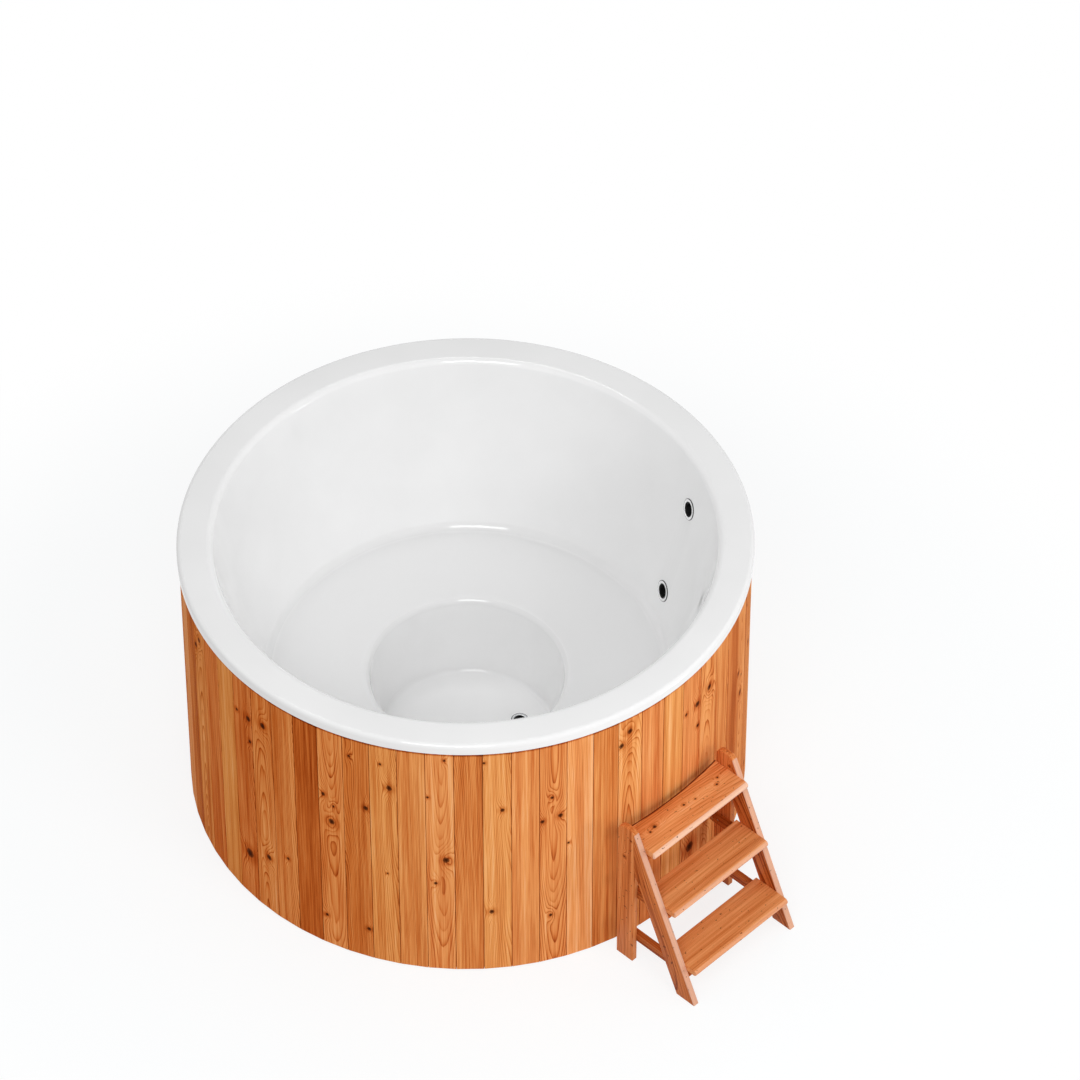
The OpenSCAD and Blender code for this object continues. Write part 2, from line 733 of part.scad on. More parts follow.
// Each bearer: height of its top, and places of its screws [x, z]
bearer_tops = [tread_z - tread_t, middle_z - tread_t, top_z - tread_t];
function bearer_front(z) = front_x(z) - bearer_back;
function string_mid(z) = (front_x(z) + max(back_x(z), leg_front)) / 2;
function bearer_screw_at(top) = concat(
    [for (i = [0, 1]) [leg_back + bearer_leg_x[i], top - bearer_h / 2 + (2 * i - 1) * screw_stagger]],
    [[string_mid(top - bearer_h / 2) - screw_stagger, top - bearer_h / 2]]);
all_screws = [for (top = bearer_tops) each bearer_screw_at(top)];

// Takes its children to each bearer screw on side s, z pointing out through the frame
module at_bearer_screws(s, spots = all_screws) {
    for (p = spots) translate([p[0], s * (frame_y - bearer_w), p[1]]) rotate([-s * 90, 0, 0])
        children();
}

// Screw with its countersunk head flush at z = 0
module screw(l) {
    cylinder(d1 = head_d, d2 = screw_d, h = head_h);
    translate([0, 0, head_h - eps]) cylinder(d = screw_d, h = l - head_h);
}

// Hole that a screw fills, a little wider and deeper
module screw_hole(l) {
    translate([0, 0, -1]) cylinder(d = head_d + 2 * screw_gap, h = 1 + screw_gap);
    translate([0, 0, screw_gap]) cylinder(d1 = head_d + 2 * screw_gap,
        d2 = screw_d + 2 * screw_gap, h = head_h);
    translate([0, 0, head_h]) cylinder(d = screw_d + 2 * screw_gap, h = l - head_h + screw_gap);
}

// Outline that a leg and its stringer share, with the rounded top
frame_top = [front_x(side_h), side_h];
frame_outline = concat([[leg_back, -1]],
    corner([leg_back, 0], [leg_back, side_h], frame_top, leg_round),
    corner([leg_back, side_h], frame_top, [front_x(0), 0], nose_round),
    [[front_x(-1), -1]]);

// Leg with a rounded top, upright against the tub
module leg(s) color("peru") {
    at_steps() difference() {
        intersection() {
            side_cut(s, [[leg_back, 0], [leg_front, 0], [leg_front, side_h + 1],
                [leg_back, side_h + 1]]);
            side_cut(s, frame_outline);
        }
        at_bearer_screws(s) screw_hole(screw_l);
    }
}

// Sloping board with its foot cut level and its top cut upright against the leg
module stringer(s) color("peru") {
    top_x = leg_front + seat_gap;
    at_steps() difference() {
        intersection() {
            side_cut(s, [[back_x(0), 0], [front_x(0), 0],
                [top_x, (string_front - top_x) / tan(lean)],
                [top_x, (string_front - string_foot - top_x) / tan(lean)]]);
            side_cut(s, frame_outline);
        }
        at_bearer_screws(s) screw_hole(screw_l);
    }
}

module left_leg() leg(-1);
module right_leg() leg(1);
module left_stringer() stringer(-1);
module right_stringer() stringer(1);

// Places of the screws under a tread: [x, side]
function tread_screw_at(top) = [for (s = [-1, 1], x = tread_screw_x)
    [front_x(top) + tread_out - tread_d + x, s * (frame_y - bearer_w / 2)]];

// Board between the side frames with a round front edge, d deep, its top at height top. The
// edge's radius is a little over half the thickness, so it meets both faces at a slight angle.
module tread(top, d) {
    front = front_x(top) + tread_out;
    half = frame_y - seat_gap;
    r = tread_t / 2 + tread_ease;
    at_steps() difference() {
        intersection() {
            translate([front - d, -half, top - tread_t]) cube([2 * d, 2 * half, tread_t]);
            translate([front - r, 0, top - tread_t / 2]) union() {
                translate([-2 * d, -2 * half, -tread_t]) cube([2 * d, 4 * half, 2 * tread_t]);
                rotate([90, 0, 0]) cylinder(r = r, h = 4 * half, center = true);
            }
        }
        for (p = tread_screw_at(top)) translate([p[0], p[1], top - tread_t - seat_gap])
            cylinder(d = screw_d + 2 * screw_gap, h = tread_screw_l - bearer_h + head_h + seat_gap);
        children();
    }
}

// The top tread's back edge is hollowed to follow the round tub
module top_tread() color("peru") {
    tread(top_z, top_tread_d)
        translate([top_front - top_tread_d + scoop_d - scoop_r, 0, top_z - 2 * tread_t])
            cylinder(r = scoop_r, h = 3 * tread_t, $fn = liner_fn);
}

module middle_tread() color("peru") tread(middle_z, tread_d);
module bottom_tread() color("peru") tread(tread_z, tread_d);

// Pair of battens that carry a tread, screwed to the inner faces of the side frames
module bearers(top) color("peru") {
    at_steps() for (s = [-1, 1]) difference() {
        translate([0, s < 0 ? -frame_y + bearer_w : frame_y - seat_gap, 0]) rotate([90, 0, 0])
            linear_extrude(bearer_w - seat_gap) polygon([
                [leg_back, top - bearer_h], [bearer_front(top - bearer_h), top - bearer_h],
                [bearer_front(top), top - seat_gap], [leg_back, top - seat_gap]]);
        at_bearer_screws(s, bearer_screw_at(top)) screw_hole(screw_l);
        for (p = tread_screw_at(top + tread_t)) if (p[1] * s > 0)
            translate([p[0], p[1], top - bearer_h]) screw_hole(tread_screw_l);
    }
}

module top_bearers() bearers(bearer_tops[2]);
module middle_bearers() bearers(bearer_tops[1]);
module bottom_bearers() bearers(bearer_tops[0]);

module bearer_screws() color("silver") {
    at_steps() for (s = [-1, 1]) at_bearer_screws(s) screw(screw_l);
}

module tread_screws() color("silver") {
    at_steps() for (top = bearer_tops, p = tread_screw_at(top + tread_t))
        translate([p[0], p[1], top - bearer_h]) screw(tread_screw_l);
}

liner();
side_boards();
upper_ring();
middle_ring();
lower_ring();
posts();
bench_joists();
bench_legs();
base_deck();
floor_beams();
upper_inlet_sleeve();
upper_inlet_gasket();
upper_inlet_nut();
upper_hose_pipe();
lower_inlet_sleeve();
lower_inlet_gasket();
lower_inlet_nut();
lower_hose_pipe();
drain_sleeve();
drain_gasket();
drain_nut();
drain_elbow();
drain_pipe();
valve_barrel();
valve_inner_cap();
valve_outer_cap();
valve_seats();
valve_ball();
valve_stem();
valve_lever();
lever_grip();
lever_nut();
left_leg();
right_leg();
left_stringer();
right_stringer();
top_tread();
middle_tread();
bottom_tread();
top_bearers();
middle_bearers();
bottom_bearers();
bearer_screws();
tread_screws();
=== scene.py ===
# %% [markdown]
# # A wooden hot tub, dressed for its photograph
#
# The tub and its steps were drawn first as solids, in millimetres, and packed
# as a frame of named pieces. This lesson gives those pieces their looks. It
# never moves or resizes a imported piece. Where a piece needs softer edges or a
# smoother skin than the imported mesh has, a new mesh is made in the same place
# and stands for it.
#
# Each step has a note like this one and then a short cell of code.

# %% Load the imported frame
import math

import bmesh
import bpy
from mathutils import Matrix, Vector


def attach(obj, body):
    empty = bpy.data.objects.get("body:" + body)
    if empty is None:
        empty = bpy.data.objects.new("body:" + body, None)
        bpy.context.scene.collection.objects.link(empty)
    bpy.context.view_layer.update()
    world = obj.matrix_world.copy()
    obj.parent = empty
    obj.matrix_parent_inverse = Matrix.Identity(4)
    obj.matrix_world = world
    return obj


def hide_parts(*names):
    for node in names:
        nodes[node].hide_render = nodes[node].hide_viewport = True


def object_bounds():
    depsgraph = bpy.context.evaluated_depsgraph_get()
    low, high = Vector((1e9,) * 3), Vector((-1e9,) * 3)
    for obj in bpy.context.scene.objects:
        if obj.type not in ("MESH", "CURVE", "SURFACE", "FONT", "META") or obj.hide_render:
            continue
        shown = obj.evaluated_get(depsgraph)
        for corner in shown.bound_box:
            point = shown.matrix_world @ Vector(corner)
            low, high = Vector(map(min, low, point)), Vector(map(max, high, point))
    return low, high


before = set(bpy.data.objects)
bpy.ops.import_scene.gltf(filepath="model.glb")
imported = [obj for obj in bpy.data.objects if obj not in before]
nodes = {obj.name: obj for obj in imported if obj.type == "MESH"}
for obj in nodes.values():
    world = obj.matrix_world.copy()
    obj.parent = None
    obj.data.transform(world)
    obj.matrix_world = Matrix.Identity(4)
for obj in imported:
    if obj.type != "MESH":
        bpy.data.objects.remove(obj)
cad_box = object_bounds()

print(f"{len(nodes)} packed pieces, box {[round(c, 3) for c in (*cad_box[0], *cad_box[1])]}")

# %% [markdown]
# ## The camera
#
# A camera can be placed by eye, but then every comparison with the photograph
# is a guess. Here its place was worked out from ellipses in the photograph,
# those of the collar, the boards' feet and the bench. A long lens from far
# away gives the photograph's calm perspective.

# %% Camera at the photograph's viewpoint
camera = bpy.data.objects.new("camera", bpy.data.cameras.new("camera"))
bpy.context.scene.collection.objects.link(camera)
camera.location = (0.23152, -13.74338, 14.85972)
camera.rotation_euler = (math.radians(44.7765), 0, 0)
camera.data.lens = 208.94
camera.data.sensor_width = 36
camera.data.clip_end = 100
bpy.context.scene.camera = camera
print(f"a {camera.data.lens:.0f} mm lens, {camera.location.length:.1f} m from the tub")

# %% [markdown]
# ## Nodes in few words
#
# Blender's materials are graphs of nodes. Built by hand in code, each node
# takes three or four lines, which hides the idea of the material. A small
# helper that adds a node, fills its sockets and returns its first output
# keeps every recipe readable from top to bottom. The sums that come up most
# have names of their own, so that a recipe reads almost like arithmetic.

# %% A helper that builds node graphs
class Graph:
    """Adds nodes to a tree. A socket's value may be a number, a colour or another node's output."""

    def __init__(self, tree):
        self.tree = tree

    def fill(self, socket, value):
        """Links an output to a socket, or sets the socket to a plain value."""
        if isinstance(value, bpy.types.NodeSocket):
            self.tree.links.new(value, socket)
        elif value is not None:
            socket.default_value = value

    def add(self, kind, *values, **named):
        """A new node. Names in small letters are its settings, and names with capitals its sockets."""
        node = self.tree.nodes.new("ShaderNode" + kind)
        for name in [n for n in named if n.islower()]:
            setattr(node, name, named.pop(name))
        for socket, value in zip(node.inputs, values):
            self.fill(socket, value)
        for name, value in named.items():
            self.fill(node.inputs[name.replace("_", " ")], value)
        return node

    def calc(self, operation, *values):
        return self.add("Math", *values, operation=operation).outputs[0]

    def plus(self, a, b):
        return self.calc("ADD", a, b)

    def minus(self, a, b):
        return self.calc("SUBTRACT", a, b)

    def times(self, a, b):
        return self.calc("MULTIPLY", a, b)

    def over(self, a, b):
        return self.calc("DIVIDE", a, b)

    def span(self, value, low, high, to_low=0.0, to_high=1.0, smooth=False):
        """The value carried from low..high to to_low..to_high, and held there."""
        kind = "SMOOTHSTEP" if smooth else "LINEAR"
        node = self.add("MapRange", value, low, high, to_low, to_high, interpolation_type=kind)
        return node.outputs[0]

    def place(self):
        """The point that is being coloured, in metres."""
        return self.add("TexCoord").outputs["Object"]

    def join(self, x, y, z):
        return self.add("CombineXYZ", x, y, z).outputs[0]

    def split(self, vector):
        return self.add("SeparateXYZ", vector).outputs

    def stretched(self, place, x, y, z):
        return self.add("VectorMath", place, (x, y, z), operation="MULTIPLY").outputs[0]

    def shifted(self, place, way):
        return self.add("VectorMath", place, way).outputs[0]

    def length(self, vector):
        return self.add("VectorMath", vector, operation="LENGTH").outputs["Value"]

    def noise(self, place, scale, detail=2.0, roughness=0.5):
        return self.add("TexNoise", Vector=place, Scale=scale, Detail=detail, Roughness=roughness).outputs[0]

    def blend(self, share, a, b):
        """Colour a, turned into colour b by the share."""
        node = self.add("Mix", data_type="RGBA")
        for socket, value in zip((node.inputs[0], node.inputs[6], node.inputs[7]), (share, a, b)):
            self.fill(socket, value)
        return node.outputs[2]


# %% Colours, new materials and how a piece gets one
def linear(hex_colour):
    """The colour of a hex string such as B86A32, as Blender's linear numbers."""
    parts = [int(hex_colour[i : i + 2], 16) / 255 for i in (0, 2, 4)]
    return (*[((c + 0.055) / 1.055) ** 2.4 if c > 0.04045 else c / 12.92 for c in parts], 1)


def new_material(name):
    """An empty material, its graph and its main shader."""
    material = bpy.data.materials.new(name)
    material.use_nodes = True
    graph = Graph(material.node_tree)
    return material, graph, material.node_tree.nodes["Principled BSDF"]


def dress(material, *names):
    """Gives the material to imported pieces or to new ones."""
    for name in names:
        slots = (nodes.get(name) or bpy.data.objects[name]).data.materials
        slots.clear()
        slots.append(material)


print("the brown B86A32 in linear numbers:", [round(c, 3) for c in linear("B86A32")])

# %% [markdown]
# ## Floor and light
#
# The photograph was taken on white, with light from all round. So the world is
# a bright, even sky that lights the tub, and the camera and the mirrors see it
# as plain white. The floor is part matt paint and part glow for the camera: the
# glow keeps it white, and the paint still catches the tub's soft shadow. The
# boards get brighter from left to right, so the key lamp stands front right. It
# lights the tub but isn't mirrored in it. A wide lamp above the camera reaches
# down into the foot well, a low strip on the right draws the pale lines along
# the steps' round edges, and a narrow lamp overhead draws the bright arcs in
# the liner's corners.

# %% White floor
bpy.context.scene.view_settings.view_transform = "Standard"


def new_object(name, bm):
    """Turns a bmesh into an object of the scene."""
    mesh = bpy.data.meshes.new(name)
    bm.to_mesh(mesh)
    bm.free()
    made = bpy.data.objects.new(name, mesh)
    bpy.context.scene.collection.objects.link(made)
    return made


bm = bmesh.new()
bmesh.ops.create_grid(bm, x_segments=1, y_segments=1, size=12)
floor = new_object("floor", bm)
floor.location.z = -0.0005
print(f"the floor is {floor.dimensions.x:.0f} m wide")


# %% Matt paint for the light, and a glow for the camera
def in_sight(g):
    """1 for rays that end in the picture, also by way of a mirror or glass, and 0 for light."""
    ray = g.add("LightPath").outputs
    seen = g.calc("MAXIMUM", ray["Is Camera Ray"], ray["Is Glossy Ray"])
    return g.calc("MAXIMUM", seen, ray["Is Transmission Ray"])


white_floor, g, shader = new_material("white_floor")
seen = in_sight(g)
paint = g.add("BsdfDiffuse", (0.8, 0.8, 0.8, 1)).outputs[0]
thin_paint = g.add("BsdfDiffuse", (0.195, 0.212, 0.22, 1)).outputs[0]
glow = g.add("Emission", (1, 1, 1, 1), 0.818).outputs[0]
near = g.add("AddShader", thin_paint, glow).outputs[0]
far = g.add("Emission", (1, 1, 1, 1), 1.0).outputs[0]
from_tub = g.length(g.place())
shown = g.add("MixShader", g.span(from_tub, 1.5, 2.4, smooth=True), near, far).outputs[0]
g.add("OutputMaterial", g.add("MixShader", seen, paint, shown).outputs[0])
white_floor.node_tree.nodes.remove(white_floor.node_tree.nodes["Material Output"])
white_floor.node_tree.nodes.remove(shader)
dress(white_floor, "floor")
print(f"the floor's material has {len(white_floor.node_tree.nodes)} nodes")

# %% Even sky
world = bpy.data.worlds.new("studio")
world.use_nodes = True
bpy.context.scene.world = world
g = Graph(world.node_tree)
sky_strength = 0.49  # for light. In sight, the sky has a strength of 1, which is white.
strength = g.span(in_sight(g), 0, 1, sky_strength, 1)
sky = world.node_tree.nodes["Background"]
sky.inputs["Color"].default_value = (1, 1, 1, 1)
g.fill(sky.inputs["Strength"], strength)
print(f"the sky lights with a strength of {sky_strength}")


# %% Four lamps
def softbox(name, place, aim, size, watts, mirrored=True):
    """A rectangular lamp at a place, turned to face its aim."""
    lamp = bpy.data.objects.new(name, bpy.data.lights.new(name, "AREA"))
    bpy.context.scene.collection.objects.link(lamp)
    lamp.location = place
    lamp.rotation_euler = (Vector(aim) - Vector(place)).to_track_quat("-Z", "Y").to_euler()
    lamp.data.shape = "RECTANGLE"
    lamp.data.size, lamp.data.size_y = size
    lamp.data.energy = watts
    lamp.visible_camera = False
    lamp.visible_glossy = mirrored
    return lamp


lamps = [
    softbox("key", (4.5, -5.3, 4.5), (0, 0, 0.5), (3.2, 3.2), 150, mirrored=False),
    softbox("low_strip", (6.8, -2.2, 0.8), (0.8, -0.8, 0.4), (1.2, 1.6), 55),
    softbox("front", (-0.8, -6.2, 8.2), (0, 0, 0.5), (4.0, 3.0), 212),
    softbox("overhead", (-0.5, 1.9, 5.5), (0, 0.3, 0.5), (2.6, 0.35), 14),
]
print(f"{len(lamps)} softboxes of {sum(lamp.data.energy for lamp in lamps):.0f} watts together")

# %% [markdown]
# ## The moulded liner
#
# The real liner is one shell of plastic, moulded over a round form, so it is a
# shape of revolution. Its section runs from the outer lip over the collar,
# down the leaning wall, across the bench, down the foot well and over the
# floor. The section could be typed as a long list of points. It is simpler to
# draw it with sharp corners, to round each corner with a bevel, and to spin
# the result about the tub's axis.

# %% The liner's sizes, in metres
rim_r, rim_z = -round(cad_box[0][0], 4), round(cad_box[1][2], 4)
lip_z = 0.9953
mouth_r = 0.7900
bench_r, bench_z = 0.6400, 0.4203
well_r, floor_r, floor_z = 0.3120, 0.2840, 0.1233
shell = 0.005
liner_corners = [  # distance from the axis, height and corner radius
    (rim_r, lip_z, 0),
    (rim_r, rim_z, 0.014),
    (mouth_r, rim_z, 0.024),
    (bench_r, bench_z, 0.036),
    (well_r, bench_z, 0.022),
    (floor_r, floor_z, 0.018),
    (0, floor_z, 0),
]
print(f"the basin is {rim_z - floor_z:.2f} m deep and {2 * mouth_r:.2f} m across its mouth")


# %% Section of the liner with rounded corners
def wire(bm, points):
    """Joins points with edges, one after another, and returns the new vertices."""
    verts = [bm.verts.new(p) for p in points]
    for a, b in zip(verts, verts[1:]):
        bm.edges.new((a, b))
    return verts


def round_corner(bm, vert, radius, turn, segments):
    """Rounds the corner of a flat outline, where it turns by an angle, to a radius."""
    bmesh.ops.bevel(bm, geom=[vert], offset=radius * math.tan(turn / 2), segments=segments,
                    profile=0.5, affect="VERTICES", material=-1)


bm = bmesh.new()
corners = wire(bm, [(r, 0, z) for r, z, _ in liner_corners])
turns = [(b.co - a.co).angle(c.co - b.co) for a, b, c in zip(corners, corners[1:], corners[2:])]
for corner, (_, _, radius), turn in zip(corners[1:-1], liner_corners[1:-1], turns):
    round_corner(bm, corner, radius, turn, 12)
print(f"the section has {len(bm.verts)} points")

# %% Spin the section and give the shell its thickness
bmesh.ops.spin(bm, geom=bm.verts[:] + bm.edges[:], cent=(0, 0, 0), axis=(0, 0, 1),
               angle=math.tau, steps=240, use_merge=True, use_duplicate=False)
bmesh.ops.remove_doubles(bm, verts=bm.verts, dist=1e-6)
bmesh.ops.recalc_face_normals(bm, faces=bm.faces)
if sum(f.normal.z * f.calc_area() for f in bm.faces) < 0:
    bmesh.ops.reverse_faces(bm, faces=bm.faces)
bmesh.ops.solidify(bm, geom=bm.faces[:], thickness=shell)
print(f"the shell has {len(bm.faces)} faces, {bm.calc_volume() * 1000:.1f} litres of plastic")


# %% A helper that finishes a piece
def smooth_shade(made, sharp):
    """Smooth shading, but for edges that turn by more than an angle in degrees."""
    made.data.shade_smooth()
    made.data.set_sharp_from_angle(angle=math.radians(sharp))


def piece(name, bm, body, replaced):
    """Makes a smooth-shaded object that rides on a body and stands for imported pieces."""
    made = new_object(name, bm)
    smooth_shade(made, 30)
    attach(made, body)
    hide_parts(*replaced)
    return made


liner = piece("tub_liner", bm, "tub", ["liner"])
print(f"the liner is {liner.dimensions.x:.2f} m wide and {liner.dimensions.z:.2f} m tall")

# %% [markdown]
# The wall has two round seats for the inlets, spot-faced flat across the
# curve, and the floor has a hole for the drain. Such details can be modelled
# face by face, but cutting tools do what a router does in the workshop, and
# they land exactly where the fittings sit.

# %% Where the inlets and the drain sit
wall_lean = math.atan2(mouth_r - bench_r, rim_z - bench_z)
inlet_turn = math.radians(21)
inlet_heights = (0.8743, 0.5363)
drain_from_axis = 0.178


def inlet_place(height):
    """Matrix of an inlet: its z axis points out through the wall."""
    radius = bench_r + (height - bench_z) * math.tan(wall_lean)
    return (Matrix.Rotation(inlet_turn, 4, "Z") @ Matrix.Translation((radius, 0, height))
            @ Matrix.Rotation(math.pi / 2 + wall_lean, 4, "Y"))


inlets = [inlet_place(height) for height in inlet_heights]
drain = Matrix.Rotation(inlet_turn, 4, "Z") @ Matrix.Translation((drain_from_axis, 0, floor_z))
print(f"the wall leans out by {math.degrees(wall_lean):.1f} degrees")


# %% Cut the inlets and the drain into the liner
def rod(name, place, radius, low, high):
    """A closed cylinder about the z axis of a place matrix."""
    bm = bmesh.new()
    middle = Matrix.Translation((0, 0, (low + high) / 2))
    bmesh.ops.create_cone(bm, cap_ends=True, segments=96, radius1=radius, radius2=radius,
                          depth=high - low, matrix=place @ middle)
    return new_object(name, bm)


def cut(target, tools, operation="DIFFERENCE"):
    """Cuts the tools out of the target, or joins them to it, and removes them."""
    for tool in tools:
        step = target.modifiers.new("cut", "BOOLEAN")
        step.operation = operation
        step.solver = "EXACT"
        step.object = tool
        bpy.context.view_layer.objects.active = target
        bpy.ops.object.modifier_apply(modifier=step.name)
        bpy.data.objects.remove(tool)


pad_r, inlet_hole_r, drain_hole_r = 0.037, 0.0263, 0.0203
cut(liner, [rod("pad", m, pad_r, 0.001, 0.008) for m in inlets], "UNION")
cut(liner, [rod("spot", m, pad_r, -0.04, 0) for m in inlets])
cut(liner, [rod("hole", m, inlet_hole_r, -0.02, 0.02) for m in inlets])
cut(liner, [rod("hole", drain, drain_hole_r, -0.02, 0.02)])
smooth_shade(liner, 30)
print(f"the finished liner has {len(liner.data.polygons)} faces")

# %% [markdown]
# ## Gelcoat
#
# The liner's skin is a smooth white plastic, polished like a bath. Real
# gelcoat is never quite even: its white drifts a little, and its polish has
# faint waves that make reflections swim. Both come from soft noise. The bench
# is duller than the rest, because people sit and slide on it. The bench and
# the lip are also painted a little darker than the rest: painted shade.

# %% Gelcoat material
gelcoat, g, shader = new_material("gelcoat")
place = g.place()
cloud = g.noise(place, 3.0, 3.0)
speck = g.noise(place, 900.0, 2.0)
white = g.blend(g.span(cloud, 0.35, 0.65), linear("F8F8F8"), linear("FCFCFC"))
x, y, z = g.split(place)
from_axis = g.length(g.join(x, y, 0))
# Painted shade: the lip's white is painted a little darker.
at_lip = g.span(from_axis, rim_r - 0.008, rim_r - 0.0005, 0, 1, smooth=True)
white = g.blend(at_lip, white, linear("F1F1F1"))
from_bench = g.calc("ABSOLUTE", g.minus(z, bench_z))
# Painted shade: the bench's white is painted a little darker.
white = g.blend(g.span(from_bench, 0.003, 0.03, 1, 0, smooth=True), white, linear("F0F0F0"))
white = g.blend(g.span(speck, 0.66, 0.76, 0, 0.12), white, linear("EBEBEB"))
g.fill(shader.inputs["Base Color"], white)
seat = g.span(from_bench, 0.001, 0.005, 1, 0, smooth=True)
polish = g.span(cloud, 0.3, 0.7, 0.05, 0.09)
g.fill(shader.inputs["Roughness"], g.plus(polish, g.times(seat, 0.3)))
g.fill(shader.inputs["Coat Weight"], g.span(seat, 0, 1, 0.5, 0.0))
shader.inputs["Coat Roughness"].default_value = 0.04
waves = g.noise(place, 9.0, 2.0)
bump = g.add("Bump", Strength=0.04, Distance=0.002, Height=waves)
g.fill(shader.inputs["Normal"], bump.outputs[0])
dress(gelcoat, "tub_liner", "liner")
print(f"the gelcoat has {len(gelcoat.node_tree.nodes)} nodes")

# %% [markdown]
# ## Sawn wood
#
# Every board here was sawn from a round log, so its pattern is a cut through
# growth rings. One way is a wave texture, which gives stripes that never
# change. A truer way is to work out, for each point of the board, how far it
# is from the log's heart. Equal distances are one ring. The heart wanders
# along the log, which draws the tall arches seen on flat-sawn boards, and a
# knot pushes the rings apart as it grows. Fine noise, drawn out along the
# board, adds fibres and streaks. All this makes one number, the wood's shade,
# and a ramp of a few tones turns it into a colour.


# %% Rings round the log's heart
def log_rings(g, across, along, depth, seed, pith, pith_depth, taper, middle, ring, wander):
    """How many rings lie between a point and the log's heart."""
    drift = g.noise(g.join(seed, along, 0.3), 1.7, 1.0)
    sway = g.noise(g.join(seed, along, 5.1), 2.2, 1.0)
    side = g.minus(g.minus(across, pith), g.span(sway, 0, 1, -0.006, 0.006))
    deep = g.plus(g.plus(depth, pith_depth), g.span(drift, 0.2, 0.8, -wander, wander))
    deep = g.plus(deep, g.times(g.minus(along, middle), taper))
    rings = g.over(g.length(g.join(side, deep, 0)), ring)
    shape = g.stretched(g.join(across, along, depth), 42, 2.6, 42)
    bend = g.noise(g.shifted(shape, g.join(0, 0, seed)), 1.0, 2.0)
    return g.plus(rings, g.span(bend, 0, 1, 0, 1.0))


def knot_at(g, across, along, seed, x, z, radius):
    """How far a point is from a knot, in the knot's own radii, and how hard it pushes rings."""
    dx = g.over(g.minus(across, x), radius)
    dz = g.over(g.minus(along, z), radius)
    ragged = g.span(g.noise(g.join(dx, dz, seed), 1.1, 2.0), 0, 1, -0.3, 0.3)
    out = g.plus(g.length(g.join(dx, g.times(dz, 0.85), 0)), ragged)
    far = g.length(g.stretched(g.join(dx, dz, 0), 0.42, 0.17, 0))
    return out, g.calc("EXPONENT", g.times(g.times(far, far), -1))


# %% Late wood, fibres and knots
def sawn_wood(g, across, along, depth, seed, tone, pith=0.0, pith_depth=0.045, taper=-0.045,
              middle=0.5, ring=0.0040, contrast=0.58, wander=0.012, knots=()):
    """Adds a board's grain and returns its shade on the wood's scale, its knots and its relief.

    The three places are in metres, and each knot is its place across, its place along
    and its radius. The heart lies pith_depth behind the face at the middle height and
    comes nearer by the taper. Any of them may be a number or the output of a node.
    """
    rings = log_rings(g, across, along, depth, seed, pith, pith_depth, taper, middle, ring, wander)
    knot_mask, halo = 0.0, 0.0
    for x, z, radius in knots:
        out, push = knot_at(g, across, along, seed, x, z, radius)
        rings = g.plus(rings, g.times(push, g.over(radius, ring * 0.55)))
        solid = g.span(out, 0.85, 1.1, 0.74, 0, smooth=True)
        core = g.span(out, 0.3, 0.75, 1.32, 1)
        knot_mask = g.calc("MAXIMUM", knot_mask, g.times(solid, core))
        halo = g.calc("MAXIMUM", halo, g.span(out, 0.9, 3.2, 1, 0, smooth=True))

    # Late wood darkens slowly to the end of each year, and some years have more of it.
    part = g.calc("FRACT", rings)
    year = g.add("TexWhiteNoise", g.join(g.calc("FLOOR", rings), seed, 0)).outputs["Value"]
    late = g.times(g.calc("POWER", part, 3.6), g.span(part, 0.9, 1.0, 1, 0, smooth=True))
    late = g.times(late, g.span(year, 0, 1, 0.25, 1))

    # Fibres, lines and streaks are one kind of noise, drawn out along the board.
    long_place = g.stretched(g.join(across, along, depth), 1, 0.018, 1)
    long_place = g.shifted(long_place, g.join(0, 0, seed))
    fibre = g.noise(long_place, 520.0, 3.0, 0.65)
    line = g.noise(long_place, 190.0, 2.0, 0.6)
    streak = g.noise(long_place, 50.0, 2.0)
    shade = g.plus(tone, g.span(streak, 0.25, 0.75, -0.14, 0.14))
    shade = g.plus(shade, g.span(line, 0.3, 0.7, -0.11, 0.11))
    shade = g.plus(shade, g.span(fibre, 0.25, 0.75, -0.06, 0.06))
    shade = g.minus(shade, g.times(late, contrast))
    shade = g.minus(shade, g.times(halo, 0.16))
    relief = g.minus(g.times(fibre, 0.35), g.times(late, 0.3))
    return shade, knot_mask, relief


# %% From a shade to a colour
def wood_colours(g, stops):
    """A ramp from dark to light wood. Each stop is its place and its colour."""
    ramp = g.add("ValToRGB")
    elements = ramp.color_ramp.elements
    while len(elements) < len(stops):
        elements.new(0.5)
    for element, (at, colour) in zip(elements, stops):
        element.position = at
        element.color = linear(colour)
    return ramp


def finish_wood(g, shader, shade, knot_mask, relief, stops, knot_colour="3C1808", gloss=0.5,
                mirror=0.006, depth=0.0006, hue=None, rich=None, painted_highlight=None):
    """Colours the shader from the wood's shade, and gives it its gloss and relief."""
    ramp = wood_colours(g, stops)
    g.fill(ramp.inputs[0], shade)
    colour = ramp.outputs[0]
    if hue:
        colour = g.add("HueSaturation", Color=colour, Hue=g.plus(0.5, hue), Saturation=rich).outputs[0]
    # Painted highlight: where asked, the colour is turned towards a pale pink.
    if painted_highlight:
        colour = g.blend(painted_highlight, colour, linear("FFDCC4"))
    g.fill(shader.inputs["Base Color"], g.blend(knot_mask, colour, linear(knot_colour)))
    g.fill(shader.inputs["Roughness"], g.span(shade, 0.2, 0.9, gloss + 0.08, gloss))
    shader.inputs["Specular IOR Level"].default_value = mirror
    bump = g.add("Bump", Strength=0.5, Distance=depth, Height=relief)
    g.fill(shader.inputs["Normal"], bump.outputs[0])


oiled_tones = [(0.0, "5C2008"), (0.3, "A4481A"), (0.55, "D67A3C"), (0.8, "F4A864"), (1.0, "FFC894")]
planed_tones = [(0.0, "5E2208"), (0.3, "A8501C"), (0.55, "D87E42"), (0.8, "F4AA6C"), (1.0, "FFCEA8")]
print(f"oiled and planed wood have {len(oiled_tones)} tones each")

